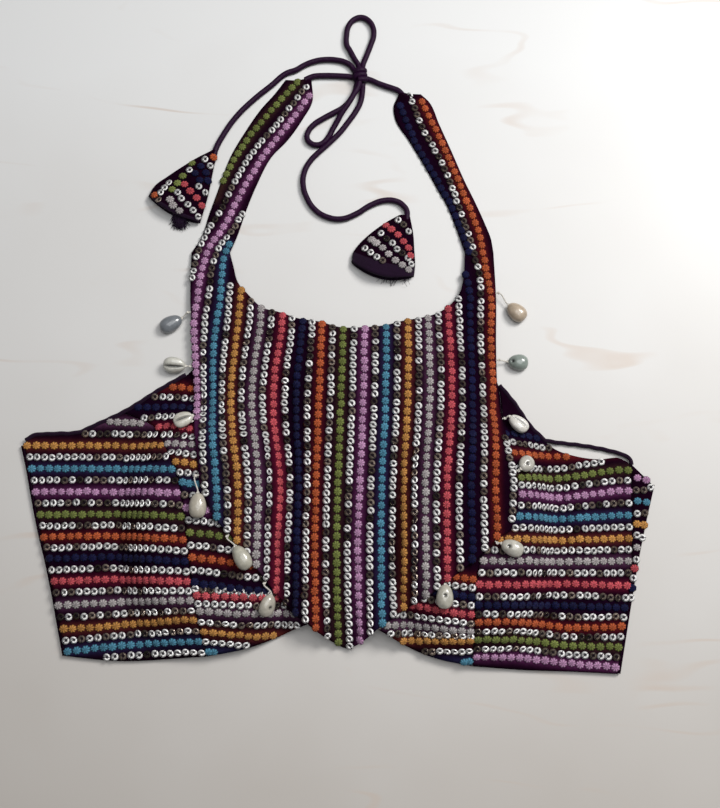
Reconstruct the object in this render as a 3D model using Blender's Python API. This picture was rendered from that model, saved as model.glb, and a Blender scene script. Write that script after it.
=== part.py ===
"""Halter choli blouse, lying face up: a front overlay cut in one with two neck straps, two bust
panels and two side wings under it, a back band folded below them, piped armholes, a neck cord
tied in a bow with two cloth tassels, and twelve cowrie shells on threads.

Lengths in the tables are millimetres and are turned into metres when a mesh is made. +X runs to
the viewer's right, +Y towards the neck, +Z up. The origin is on the underside of the back band,
on the surface that the blouse lies on.
"""

import math

import bmesh
import bpy
import numpy as np

MM = 0.001

# Cloth, seams and layers
CLOTH = 1.6  # embroidered cloth with its backing
OVERLAY_CLOTH = 1.4
SEAM_GAP = 0.3
BASE_LOW = 1.9  # the front lies on the back band: its cloth and one gap
OVERLAY_LOW = CLOTH + 1.45  # the overlay hangs loose over the bust panels
STRAP_DROP_START = 150.0  # past the bust panels the overlay comes down to the surface
STRAP_DROP_LENGTH = 70.0

# Cords, threads and piping
CORD_RADIUS = 2.0
CORD_STEP = 9.5  # distance between the points of a cord
CORD_HEIGHT = CORD_RADIUS + 0.05
PIPING_RADIUS = 1.4
THREAD_RADIUS = 0.6

# The padded bust, the bridge between the cups and the lifted hem
HUMPS = (
    # centre x, centre y, half width, half length, height, share of the radius that slopes
    (-87, 5, 68, 94, 21, 0.50),
    (83, 2, 62, 94, 21, 0.48),
    (0, 45, 118, 122, 11, 0.40),
    (-26, -50, 26, 34, 12, 0.90),
    (25, -53, 26, 34, 12, 0.90),
    (-168, -12, 44, 76, 4, 0.90),
    (152, -24, 36, 64, 5, 0.90),
)
HUMP_ROUNDNESS = 2.5
BLEND_POWER = 3.0

# Folds pressed into the front: a negative depth is a ridge
CREASES = (
    # start x, start y, end x, end y, half width, depth
    (-41, 92, -37, -62, 11, 5.5),
    (32, 70, 28, -30, 11, 2.0),
    (153, 34, 156, -10, 7, -2.2),
    (140, 36, 142, -8, 7, 2.0),
    (-134, 66, -112, 56, 6, 1.5),
    (-130, 46, -110, 36, 6, 1.5),
)
TIP_DROOP = (2, -79, 13, 4.4)  # x, y, radius, depth: the overlay's point hangs to the surface

# Outline of the overlay
OVERLAY_LEFT = ((-93.2, 30.4), (-95.7, 51.1), (-98.9, 69.2), (-101.2, 89.6), (-104.7, 130.9),
                (-106.8, 166.1), (-107.3, 194.7))
OVERLAY_RIGHT = ((106.3, 1.5), (110.5, 12.6), (111.1, 35.6), (107.6, 55.6), (104.8, 75.1),
                 (103.0, 94.1), (102.7, 126.5), (103.5, 158.7), (102.9, 194.7))
NECKLINE = ((-107.3, 194.7), (-98.0, 194.7), (-89.0, 194.7), (-80.5, 194.7), (-78.0, 185.7),
            (-73.5, 171.5), (-67.9, 165.1), (-56.8, 154.5), (-45.2, 151.0), (-32.2, 146.0),
            (-17.2, 143.2), (-3.6, 139.0), (12.0, 139.0), (25.6, 140.4), (40.6, 144.6),
            (50.8, 146.7), (62.4, 150.3), (72.7, 157.3), (78.3, 164.4), (81.2, 174.3),
            (83.0, 194.7), (93.0, 194.7), (102.9, 194.7))
OVERLAY_HEM = ((-93.2, 30.4), (-82.8, 9.5), (-68.8, -5.9), (-55.0, -23.1), (-43.8, -38.3),
               (-34.7, -49.6), (-23.8, -57.1), (-15.3, -63.9), (-5.5, -70.2), (2.2, -73.4),
               (8.0, -71.0), (21.4, -60.2), (35.5, -50.2), (54.9, -38.3), (75.7, -22.5),
               (86.8, -14.2), (96.7, -4.6), (106.3, 1.5))
OVERLAY_ROWS = 30
NECK_STATION = 10.5  # the overlay's columns are no further apart than this

# Straps: outer edge and inner edge from the overlay to the tip
STRAP_LEFT_OUTER = ((-107.3, 195.0), (-101.6, 204.7), (-95.8, 223.8), (-90.3, 240.8),
                    (-81.7, 266.9), (-71.1, 286.6), (-60.7, 302.9), (-50.9, 314.8),
                    (-43.5, 325.3))
STRAP_LEFT_INNER = ((-80.5, 195.0), (-76.5, 205.4), (-69.3, 228.2), (-62.9, 245.2),
                    (-52.3, 266.9), (-41.9, 278.5), (-31.0, 294.9), (-24.1, 308.7),
                    (-24.8, 324.1))
STRAP_RIGHT_INNER = ((83.0, 195.0), (78.4, 209.8), (69.4, 233.3), (65.9, 239.6), (56.4, 257.9),
                     (44.8, 278.5), (34.9, 296.0), (34.0, 304.1), (38.4, 314.8))
STRAP_RIGHT_OUTER = ((102.9, 195.0), (101.3, 206.2), (98.1, 215.3), (90.7, 233.3),
                     (84.3, 247.4), (75.0, 270.7), (66.6, 291.1), (59.2, 308.7), (53.7, 314.1))

# Bust panels and wings: seams from hem to armhole, hems and top edges from left to right
SEAM_LEFT = ((-89.1, -78.2), (-93.7, -51.8), (-97.5, -31.4), (-100.9, -3.6), (-105.0, 22.6),
             (-110.9, 43.8), (-118.7, 57.9), (-127.2, 70.7), (-149.7, 81.6))
SEAM_RIGHT = ((82.3, -84.3), (84.7, -26.3), (90.4, -3.7), (98.9, 22.4), (103.0, 55.6),
              (105.2, 89.4), (104.1, 100.3))
CENTRE_SEAM = ((0.0, -50.0), (0.0, 134.0))
CUP_LEFT_TOP = ((-149.7, 81.6), (-123.4, 98.5), (-108.1, 107.5), (-92.0, 128.0), (-70.0, 151.0),
                (-57.0, 148.5), (-45.0, 145.5), (-32.0, 140.5), (-17.0, 137.0), (0.0, 134.0))
CUP_LEFT_HEM = ((-89.1, -78.2), (-63.2, -73.1), (-46.6, -67.5), (-31.3, -60.6), (-23.6, -57.4),
                (-10.0, -53.0), (0.0, -50.0))
CUP_RIGHT_TOP = ((0.0, 134.0), (12.0, 133.6), (25.6, 135.0), (40.0, 139.0), (62.0, 145.0),
                 (78.0, 148.0), (95.0, 122.0), (104.1, 100.3))
CUP_RIGHT_HEM = ((0.0, -50.0), (10.0, -54.0), (21.6, -60.6), (30.6, -66.2), (44.0, -73.7),
                 (58.7, -79.3), (82.3, -84.3))
WING_LEFT_TOP = ((-216.0, 60.0), (-214.5, 62.6), (-210.1, 65.4), (-197.5, 66.7),
                 (-177.4, 68.4), (-170.2, 71.8), (-149.7, 81.6))
WING_LEFT_HEM = ((-181.0, -78.0), (-150.2, -81.0), (-89.1, -78.2))
WING_RIGHT_TOP = ((104.1, 100.3), (113.3, 88.9), (124.9, 71.2), (134.0, 62.3), (141.2, 56.9),
                  (155.1, 52.2), (170.4, 50.2), (183.8, 51.0), (191.3, 47.0))
WING_RIGHT_HEM = ((82.3, -84.3), (115.5, -86.8), (150.0, -88.0), (176.4, -89.3))

PANEL_ROWS = 22  # shared, so that the pieces meet point to point along their seams
PANEL_COLUMNS = {"cup_left": 17, "cup_right": 16, "wing_left": 11, "wing_right": 12}

# Piping on the armholes, and the stretch of it that has come loose on the right
PIPING_LEFT = WING_LEFT_TOP[1:] + CUP_LEFT_TOP[1:3]
PIPING_RIGHT = WING_RIGHT_TOP[:4]
PIPING_CLEAR = 0.8  # from the cloth's edge
LOOSE_PIPING = ((144.0, 61.6, 1.6), (157.4, 60.0, 1.5), (170.7, 57.8, 1.5), (181.5, 55.2, 1.6),
                (189.5, 51.6, 2.4))

# Side folds from hem to top, with the side seam on the top face where the wing begins
SIDE_LEFT = (
    # fold x, fold y, seam x, seam y
    (-183.2, -78.0, -181.0, -78.0),
    (-187.3, -60.9, -185.1, -60.9),
    (-192.4, -39.1, -190.2, -39.1),
    (-197.6, -19.1, -195.4, -19.1),
    (-203.5, 0.9, -201.3, 0.9),
    (-209.9, 26.3, -207.7, 26.3),
    (-214.4, 45.7, -212.2, 45.7),
    (-218.2, 59.4, -216.0, 60.0),
)
SIDE_RIGHT = (
    (178.6, -89.3, 176.4, -89.3),
    (183.2, -67.0, 181.0, -67.0),
    (187.8, -44.9, 185.4, -44.9),
    (193.8, -17.1, 189.0, -16.5),
    (199.5, 5.8, 190.3, 8.0),
    (206.9, 33.0, 191.3, 47.0),
)
BACK_CENTRE_LOW = -40.0
BACK_CENTRE_HIGH = 45.0
BACK_LAP = 8.0  # each half passes the centre by this much
LAP_RAMP = (23.0, 13.0)  # x where the upper half of the lap starts to rise, and where it is up
FOLD_MID_RADIUS = (CLOTH + SEAM_GAP) / 2

# Cord routes, from the knot or the strap outwards
CORD_ROUTES = {
    "neck_cord_left": ((-24.5, 324.4), (-21.3, 327.6), (-16.2, 328.5), (-8.0, 328.2),
                       (3.8, 327.0)),
    "neck_cord_right": ((38.1, 315.1), (35.1, 317.1), (29.4, 319.5), (22.2, 322.6),
                        (15.2, 325.7)),
    "bow_loop_up": ((7.4, 333.8), (2.7, 343.3), (0.6, 351.3), (0.3, 360.1), (2.0, 367.3),
                    (6.3, 372.2), (11.7, 373.4), (16.2, 371.0), (19.4, 365.8), (19.9, 359.3),
                    (17.6, 351.3), (14.7, 343.3), (12.0, 334.0)),
    "bow_loop_side": ((5.4, 322.1), (1.8, 312.6), (-3.6, 306.6), (-8.6, 300.6),
                      (-18.1, 293.7), (-25.4, 288.2), (-28.6, 281.3), (-26.6, 275.9),
                      (-21.6, 275.2), (-16.7, 279.1), (-11.4, 284.7), (-7.2, 292.0),
                      (-2.5, 299.6), (3.0, 306.3), (7.1, 312.7), (9.7, 320.3)),
    "tail_right": ((14.0, 321.4), (14.6, 312.3), (12.1, 303.4), (5.7, 294.3), (-1.8, 285.5),
                   (-10.3, 276.8), (-18.7, 270.0), (-24.7, 262.8), (-29.3, 254.6),
                   (-30.2, 245.6), (-27.3, 235.2), (-21.3, 226.3), (-13.2, 221.2),
                   (-3.3, 219.7), (7.2, 223.4), (17.7, 230.0), (27.5, 233.4), (36.0, 232.6),
                   (40.4, 229.6), (42.9, 225.6), (43.0, 222.2)),
    "tail_left": ((3.6, 330.8), (-0.5, 336.6), (-7.4, 340.2), (-16.2, 341.0), (-25.8, 339.4),
                  (-34.7, 335.1), (-43.3, 329.6), (-53.2, 320.8), (-66.3, 309.3),
                  (-78.2, 296.5), (-86.6, 283.6), (-92.6, 272.4)),
}
KNOT = ((9.5, 327.2), (5.2, 6.3, 3.9))  # centre, radii

# Tassels: flattened cones of cloth, open at the wide end
TASSELS = {
    # side: apex, the two corners of the mouth, and its tuft's place along the mouth (as a
    # share), half width, strand length and number of strands
    "left": ((-92.9, 271.9), ((-139.0, 235.6), (-104.0, 216.4)), (0.33, 5.5, 10.5, 24)),
    "right": ((42.5, 220.6), ((4.1, 188.0), (47.7, 177.9)), (0.38, 8.0, 6.5, 22)),
}
TASSEL_WALL = 1.4
TASSEL_APEX_HALF = (2.6, 2.8)  # half width, height factor
TASSEL_MOUTH_FACTOR = 6.0
TASSEL_RISE = 1.45  # full height over the height factor
TASSEL_SIDES = 14
SECTION_WAIST = 0.31  # height of a flattened section's widest line, as a share
TUFT_DEPTHS = (1.5, 4.5)  # how far inside the mouth the backing's faces are
TUFT_HEIGHTS = (1.2, 3.0)  # above the wall that it lies on
TUFT_TAPER = 0.35
TUFT_SAG = (1.2, 0.4)  # fall of the lowest strands' ends, and the added fall of the next row
TUFT_FAN = (0.5, 0.02)  # sideways spread of the strands and its unevenness: they never cross

# Cowrie shells and the edge of the overlay that each is tied to
COWRIES = {
    # name: centre x, centre y, length, width, roll in degrees, point towards which its thread runs
    "left_1": (-119.8, 143.8, 16.0, 11.0, 0, (-107.3, 150.6)),
    "left_2": (-116.2, 114.2, 15.0, 11.5, 150, (-105.4, 113.5)),
    "left_3": (-107.6, 74.2, 14.0, 11.0, 160, (-101.4, 81.6)),
    "left_4": (-93.8, 16.8, 16.5, 12.0, 0, (-93.9, 29.9)),
    "left_5": (-66.4, -18.6, 17.0, 12.0, 0, (-69.6, -7.4)),
    "left_6": (-48.6, -46.8, 15.0, 11.5, 0, (-50.5, -30.0)),
    "right_1": (117.7, 152.0, 15.0, 11.5, 0, (107.3, 161.6)),
    "right_2": (117.9, 116.7, 13.5, 11.0, 0, (103.5, 117.7)),
    "right_3": (114.6, 70.0, 15.5, 11.5, 180, (104.3, 76.5)),
    "right_4": (119.4, 44.0, 13.0, 10.5, 0, (108.1, 39.0)),
    "right_5": (107.6, -11.9, 14.5, 11.5, 0, (98.0, -2.0)),
    "right_6": (63.4, -42.2, 16.0, 12.0, 0, (63.9, -30.1)),
}
COWRIE_HEIGHT_SHARE = 0.72  # height over width
COWRIE_EGG = 0.14  # how much wider the free end is
COWRIE_DOME = 0.58  # share of the height above the widest line
COWRIE_SLIT = 0.11  # depth of the slit over the height
COWRIE_POLE = 0.1  # angle from the ends at which the rings stop
THREAD_START = 1.0  # from the overlay's edge to the middle of the thread's end
COWRIE_RINGS = 8
COWRIE_SIDES = 10
FLOOR_COWRIES = ("left_1", "left_2", "right_1", "right_2")

COLOURS = {
    # material: colour, roughness, metallic
    "cloth": ((0.045, 0.012, 0.045), 0.8, 0.0),
    "overlay": ((0.06, 0.015, 0.06), 0.75, 0.0),
    "piping": ((0.035, 0.008, 0.06), 0.6, 0.0),
    "cord": ((0.030, 0.006, 0.055), 0.45, 0.0),
    "shell": ((0.72, 0.68, 0.60), 0.3, 0.0),
    "thread": ((0.85, 0.83, 0.80), 0.8, 0.0),
}


def ease(share):
    """Rises smoothly from 0 to 1 as the share does."""
    share = np.clip(share, 0.0, 1.0)
    return share * share * (3.0 - 2.0 * share)


def cloth_height(x, y):
    """Height of the front's underside at a place: the base, the blended humps, less the folds."""
    x = np.asarray(x, float)
    y = np.asarray(y, float)
    total = np.zeros_like(x)
    for centre_x, centre_y, half_x, half_y, height, slope in HUMPS:
        across = np.abs((x - centre_x) / half_x) ** HUMP_ROUNDNESS
        along = np.abs((y - centre_y) / half_y) ** HUMP_ROUNDNESS
        radius = (across + along) ** (1.0 / HUMP_ROUNDNESS)
        total += (height * ease((1.0 - radius) / slope)) ** BLEND_POWER
    raised = total ** (1.0 / BLEND_POWER)
    for start_x, start_y, end_x, end_y, half_width, depth in CREASES:
        run_x = end_x - start_x
        run_y = end_y - start_y
        share = ((x - start_x) * run_x + (y - start_y) * run_y) / (run_x**2 + run_y**2)
        share = np.clip(share, 0.0, 1.0)
        away = np.hypot(x - start_x - share * run_x, y - start_y - share * run_y)
        raised = raised - depth * np.exp(-((away / half_width) ** 2))
    drop = ease((y - STRAP_DROP_START) / STRAP_DROP_LENGTH)
    base = BASE_LOW - (BASE_LOW + OVERLAY_LOW) * drop
    droop_x, droop_y, droop_radius, droop_depth = TIP_DROOP
    away = np.hypot(x - droop_x, y - droop_y)
    base = base - droop_depth * np.exp(-((away / droop_radius) ** 2))
    return base + np.maximum(raised, 0.0)


def slope_of(x, y, reach=1.0):
    """The height's slope along x and y, from its values a millimetre to each side."""
    along_x = (cloth_height(x + reach, y) - cloth_height(x - reach, y)) / (2 * reach)
    along_y = (cloth_height(x, y + reach) - cloth_height(x, y - reach)) / (2 * reach)
    return along_x, along_y


def on_cloth(plan, above):
    """Points over a plan grid, at a distance above the front's underside, square to its slope."""
    x, y = plan[..., 0], plan[..., 1]
    along_x, along_y = slope_of(x, y)
    height = cloth_height(x, y) + above * np.sqrt(1.0 + along_x**2 + along_y**2)
    return np.stack([x, y, height], axis=-1)


def smooth_path(points, count):
    """Even stations on a smooth curve through the points (cubic, chord-length tangents)."""
    points = np.asarray(points, float)
    chords = np.linalg.norm(np.diff(points, axis=0), axis=1)
    knots = np.concatenate([[0.0], np.cumsum(chords)])
    tangents = np.gradient(points, knots, axis=0)
    fine = np.linspace(0.0, knots[-1], max(12 * len(points), 4 * count))
    place = np.clip(np.searchsorted(knots, fine, side="right") - 1, 0, len(chords) - 1)
    share = ((fine - knots[place]) / chords[place])[:, None]
    chord = chords[place][:, None]
    curve = (
        (2 * share**3 - 3 * share**2 + 1) * points[place]
        + (share**3 - 2 * share**2 + share) * chord * tangents[place]
        + (3 * share**2 - 2 * share**3) * points[place + 1]
        + (share**3 - share**2) * chord * tangents[place + 1]
    )
    travelled = np.concatenate([[0.0], np.cumsum(np.linalg.norm(np.diff(curve, axis=0), axis=1))])
    stations = np.linspace(0.0, travelled[-1], count)
    return np.stack([np.interp(stations, travelled, axis) for axis in curve.T], axis=-1)


def patch(left, right, low, high):
    """A plan grid between four edges that meet at the corners (a Coons patch); rows run up."""
    rows, columns = len(left), len(low)
    up = np.linspace(0.0, 1.0, rows)[:, None, None]
    over = low[:, 0] - low[0, 0]
    over = (over / over[-1])[None, :, None]
    sides = (1 - over) * left[:, None] + over * right[:, None]
    ends = (1 - up) * low[None] + up * high[None]
    corners = (
        (1 - over) * (1 - up) * low[0]
        + over * (1 - up) * low[-1]
        + (1 - over) * up * high[0]
        + over * up * high[-1]
    )
    return (sides + ends - corners).reshape(rows, columns, 2)


def material(kind):
    """The Principled material of a kind, made once for each object that asks."""
    colour, roughness, metallic = COLOURS[kind]
    made = bpy.data.materials.new(kind)
    made.use_nodes = True
    shader = made.node_tree.nodes["Principled BSDF"]
    shader.inputs["Base Color"].default_value = (*colour, 1.0)
    shader.inputs["Roughness"].default_value = roughness
    shader.inputs["Metallic"].default_value = metallic
    made.diffuse_color = (*colour, 1.0)
    return made


def add_mesh(name, vertices, faces, kind):
    """A mesh object with outward faces, from points in millimetres."""
    mesh = bpy.data.meshes.new(name)
    mesh.from_pydata((np.asarray(vertices) * MM).tolist(), [], faces)
    shape = bmesh.new()
    shape.from_mesh(mesh)
    bmesh.ops.recalc_face_normals(shape, faces=shape.faces)
    shape.to_mesh(mesh)
    shape.free()
    mesh.shade_smooth()
    mesh.set_sharp_from_angle(angle=math.radians(50))
    made = bpy.data.objects.new(name, mesh)
    bpy.context.collection.objects.link(made)
    made.data.materials.append(material(kind))
    return made


def grid_faces(rows, columns, first=0, closed=False):
    """Quads of a grid whose points are counted row by row, joined round each row if closed."""
    last = columns if closed else columns - 1
    faces = []
    for row in range(rows - 1):
        for column in range(last):
            here = first + row * columns
            after = (column + 1) % columns
            faces.append((here + column, here + after, here + columns + after,
                          here + columns + column))
    return faces


def add_sheet(name, under, over, kind):
    """A wall of cloth between an under grid and an over grid of the same size."""
    rows, columns = under.shape[:2]
    count = rows * columns
    faces = grid_faces(rows, columns) + grid_faces(rows, columns, count)
    index = np.arange(count).reshape(rows, columns)
    rim = np.concatenate([index[0], index[1:, -1], index[-1, -2::-1], index[-2:0:-1, 0]])
    for here, after in zip(rim, np.roll(rim, -1)):
        faces.append((int(here), int(after), int(after) + count, int(here) + count))
    return add_mesh(name, np.concatenate([under.reshape(-1, 3), over.reshape(-1, 3)]), faces, kind)


def add_front_sheet(name, plan, low, wall, kind):
    """A piece of the front that follows the bust, from its plan grid."""
    return add_sheet(name, on_cloth(plan, low), on_cloth(plan, low + wall), kind)


def add_loft(name, rings, kind):
    """A closed body through rings of points, capped at both ends."""
    rings = np.asarray(rings)
    count, sides = rings.shape[:2]
    faces = grid_faces(count, sides, closed=True)
    faces.append(tuple(range(sides)))
    faces.append(tuple(range((count - 1) * sides, count * sides)))
    return add_mesh(name, rings.reshape(-1, 3), faces, kind)


def overlay_plan():
    """The overlay's plan grid: its columns run from the hem to the neckline."""
    high = np.asarray(NECKLINE)
    wide = np.flatnonzero(np.diff(high[:, 0]) > NECK_STATION)
    high = np.insert(high, wide + 1, (high[wide] + high[wide + 1]) / 2, axis=0)
    hem = smooth_path(OVERLAY_HEM, 200)
    share = (high[:, 0] - high[0, 0]) / (high[-1, 0] - high[0, 0])
    hem_x = hem[0, 0] + share * (hem[-1, 0] - hem[0, 0])
    low = np.stack([hem_x, np.interp(hem_x, hem[:, 0], hem[:, 1])], axis=-1)
    left = smooth_path(OVERLAY_LEFT, OVERLAY_ROWS)
    right = smooth_path(OVERLAY_RIGHT, OVERLAY_ROWS)
    return patch(left, right, low, high)


def strap_plan(outer, inner, rows=14, columns=4):
    """A strap's plan grid, ruled from its outer edge to its inner edge."""
    outer = smooth_path(outer, rows)[:, None]
    inner = smooth_path(inner, rows)[:, None]
    over = np.linspace(0.0, 1.0, columns)[None, :, None]
    return (1 - over) * outer + over * inner


def panel_plan(left, right, low, high, rows, columns):
    """A panel's plan grid between four outline curves."""
    return patch(smooth_path(left, rows), smooth_path(right, rows), smooth_path(low, columns),
                 smooth_path(high, columns))


def add_front():
    """The overlay with its straps, and the bust panels and wings beneath it."""
    add_front_sheet("front_panel", overlay_plan(), OVERLAY_LOW, OVERLAY_CLOTH, "overlay")
    for side, outer, inner in (("left", STRAP_LEFT_OUTER, STRAP_LEFT_INNER),
                               ("right", STRAP_RIGHT_OUTER, STRAP_RIGHT_INNER)):
        add_front_sheet(f"strap_{side}", strap_plan(outer, inner), OVERLAY_LOW, OVERLAY_CLOTH,
                        "overlay")
    left_side = [row[2:] for row in SIDE_LEFT]
    right_side = [row[2:] for row in SIDE_RIGHT]
    panels = {
        "cup_left": (SEAM_LEFT, CENTRE_SEAM, CUP_LEFT_HEM, CUP_LEFT_TOP),
        "cup_right": (CENTRE_SEAM, SEAM_RIGHT, CUP_RIGHT_HEM, CUP_RIGHT_TOP),
        "wing_left": (left_side, SEAM_LEFT, WING_LEFT_HEM, WING_LEFT_TOP),
        "wing_right": (SEAM_RIGHT, right_side, WING_RIGHT_HEM, WING_RIGHT_TOP),
    }
    for name, edges in panels.items():
        plan = panel_plan(*edges, PANEL_ROWS, PANEL_COLUMNS[name])
        plan[:, 0, 0] += SEAM_GAP / 2
        plan[:, -1, 0] -= SEAM_GAP / 2
        add_front_sheet(name, plan, 0.0, CLOTH, "cloth")


def add_back(side, folds, sign):
    """Half of the back band: flat below, round the side fold, and up to the side seam on top."""
    rows = 12
    table = smooth_path(folds, rows)
    fold, seam = table[:, :2], table[:, 2:]
    share = np.linspace(0.0, 1.0, rows)
    centre = np.stack([np.full(rows, -sign * BACK_LAP),
                       BACK_CENTRE_LOW + share * (BACK_CENTRE_HIGH - BACK_CENTRE_LOW)], axis=-1)
    outward = fold - centre
    length = np.linalg.norm(outward, axis=1, keepdims=True)
    outward = outward / length
    turn = fold - outward * (FOLD_MID_RADIUS + CLOTH / 2)
    seam = seam + (sign * SEAM_GAP / 2, 0.0)
    stations = []
    for part in (0.0, 0.05, 0.1, 0.15, 0.3, 0.5, 0.7, 0.87):
        place = centre + part * (turn - centre)
        stations.append((place, np.full(rows, CLOTH / 2), (0.0, -1.0)))
    middle = CLOTH / 2 + FOLD_MID_RADIUS
    for angle in np.radians((-90, -45, 0, 45, 90)):
        place = turn + outward * FOLD_MID_RADIUS * math.cos(angle)
        height = middle + FOLD_MID_RADIUS * math.sin(angle)
        stations.append((place, np.full(rows, height), (math.cos(angle), math.sin(angle))))
    for part in (0.5, 1.0):
        place = turn + part * (seam - turn)
        stations.append((place, np.full(rows, middle + FOLD_MID_RADIUS), (0.0, 1.0)))
    inner, outer = [], []
    for place, height, (out, up) in stations:
        if sign > 0:
            start, end = LAP_RAMP
            lap = BASE_LOW * ease((start - place[:, 0]) / (start - end))
            height = height + lap
        for grid, half in ((inner, -CLOTH / 2), (outer, CLOTH / 2)):
            plan = place + outward * out * half
            grid.append(np.column_stack([plan, height + up * half]))
    add_sheet(f"back_{side}", np.stack(inner, axis=1), np.stack(outer, axis=1), "cloth")


def add_tube(name, points, radius, kind, resolution=2):
    """A round cord along points in millimetres: a curve with a bevel and filled caps."""
    curve = bpy.data.curves.new(name, "CURVE")
    curve.dimensions = "3D"
    curve.bevel_depth = radius * MM
    curve.bevel_resolution = resolution
    curve.use_fill_caps = True
    spline = curve.splines.new("POLY")
    spline.points.add(len(points) - 1)
    for point, (x, y, z) in zip(spline.points, points):
        point.co = (x * MM, y * MM, z * MM, 1.0)
    made = bpy.data.objects.new(name, curve)
    bpy.context.collection.objects.link(made)
    curve.materials.append(material(kind))
    return made


def cord_points(route):
    """Even points along a cord's smooth route, lying on the surface."""
    route = np.asarray(route, float)
    length = np.linalg.norm(np.diff(route, axis=0), axis=1).sum()
    plan = smooth_path(route, max(4, round(length / CORD_STEP) + 1))
    return np.column_stack([plan, np.full(len(plan), CORD_HEIGHT)])


def add_cords():
    """The neck cord's stretches, its two bow loops, its tails and the knot."""
    for name, route in CORD_ROUTES.items():
        add_tube(name, cord_points(route), CORD_RADIUS, "cord")
    (x, y), (half_x, half_y, half_z) = KNOT
    rings = []
    for up in np.linspace(-0.92, 0.92, 8):
        around = np.linspace(0.0, 2 * math.pi, 12, endpoint=False)
        wide = math.sqrt(1.0 - up**2)
        rings.append(np.column_stack([x + half_x * wide * np.cos(around),
                                      y + half_y * wide * np.sin(around),
                                      np.full(12, half_z * (0.92 + up) + 0.1)]))
    add_loft("bow_knot", rings, "cord")


def edge_path(edge, outward, count):
    """A piping's path beside an edge: out by its radius and the seam's gap, on the slope."""
    plan = smooth_path(edge, count)
    run = np.gradient(plan, axis=0)
    run /= np.linalg.norm(run, axis=1, keepdims=True)
    aside = np.column_stack([-run[:, 1], run[:, 0]]) * outward
    plan = plan + aside * (PIPING_RADIUS + PIPING_CLEAR)
    height = cloth_height(plan[:, 0], plan[:, 1]) + PIPING_RADIUS - 0.4
    return np.column_stack([plan, np.maximum(height, PIPING_RADIUS + 0.05)])


def add_piping():
    """Corded piping on both armholes; on the right its last stretch has come away."""
    left = edge_path(PIPING_LEFT, 1.0, 18)
    add_tube("armhole_binding_left", left, PIPING_RADIUS, "piping")
    bound = edge_path(PIPING_RIGHT, 1.0, 7)
    loose = smooth_path(np.vstack([bound[-1], LOOSE_PIPING]), 10)
    add_tube("armhole_piping_right", np.vstack([bound, loose[1:]]), PIPING_RADIUS, "piping")


def flat_ring(centre, across, half_width, low, high, sides):
    """A cross-section that is rounded above and flatter below, standing on a line across."""
    around = np.linspace(0.0, 2 * math.pi, sides, endpoint=False)
    rise = np.sin(around)
    share = SECTION_WAIST + np.where(rise > 0, 1.0 - SECTION_WAIST, SECTION_WAIST) * rise
    plan = np.asarray(centre) + np.outer(np.cos(around) * half_width, across)
    return np.column_stack([plan, low + (high - low) * share])


def add_tassel(side, apex, corners, tuft):
    """A cone of cloth with a hollow mouth, and a tuft of thread ends held inside it."""
    apex, first, second = (np.asarray(point) for point in (apex, *corners))
    mouth = (first + second) / 2
    half_mouth = np.linalg.norm(second - first) / 2
    across = (second - first) / (2 * half_mouth)
    apex_half, apex_factor = TASSEL_APEX_HALF

    def ring(share, inset):
        half = apex_half + share * (half_mouth - apex_half) - inset
        top = TASSEL_RISE * (apex_factor + share * (TASSEL_MOUTH_FACTOR - apex_factor)) - inset
        return flat_ring(apex + share * (mouth - apex), across, half, 0.05 + inset, top,
                         TASSEL_SIDES)

    outside = [ring(share, 0.0) for share in np.linspace(0.0, 1.0, 6)]
    inside = [ring(share, TASSEL_WALL) for share in (1.0, 0.8, 0.6, 0.42)]
    add_loft(f"tassel_{side}", outside + inside, "overlay")
    out = (mouth - apex) / np.linalg.norm(mouth - apex)
    place, half_width, reach, strands = tuft
    add_tuft(f"tuft_{side}", first + place * (second - first), across, out, half_width, reach,
             strands)


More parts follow.
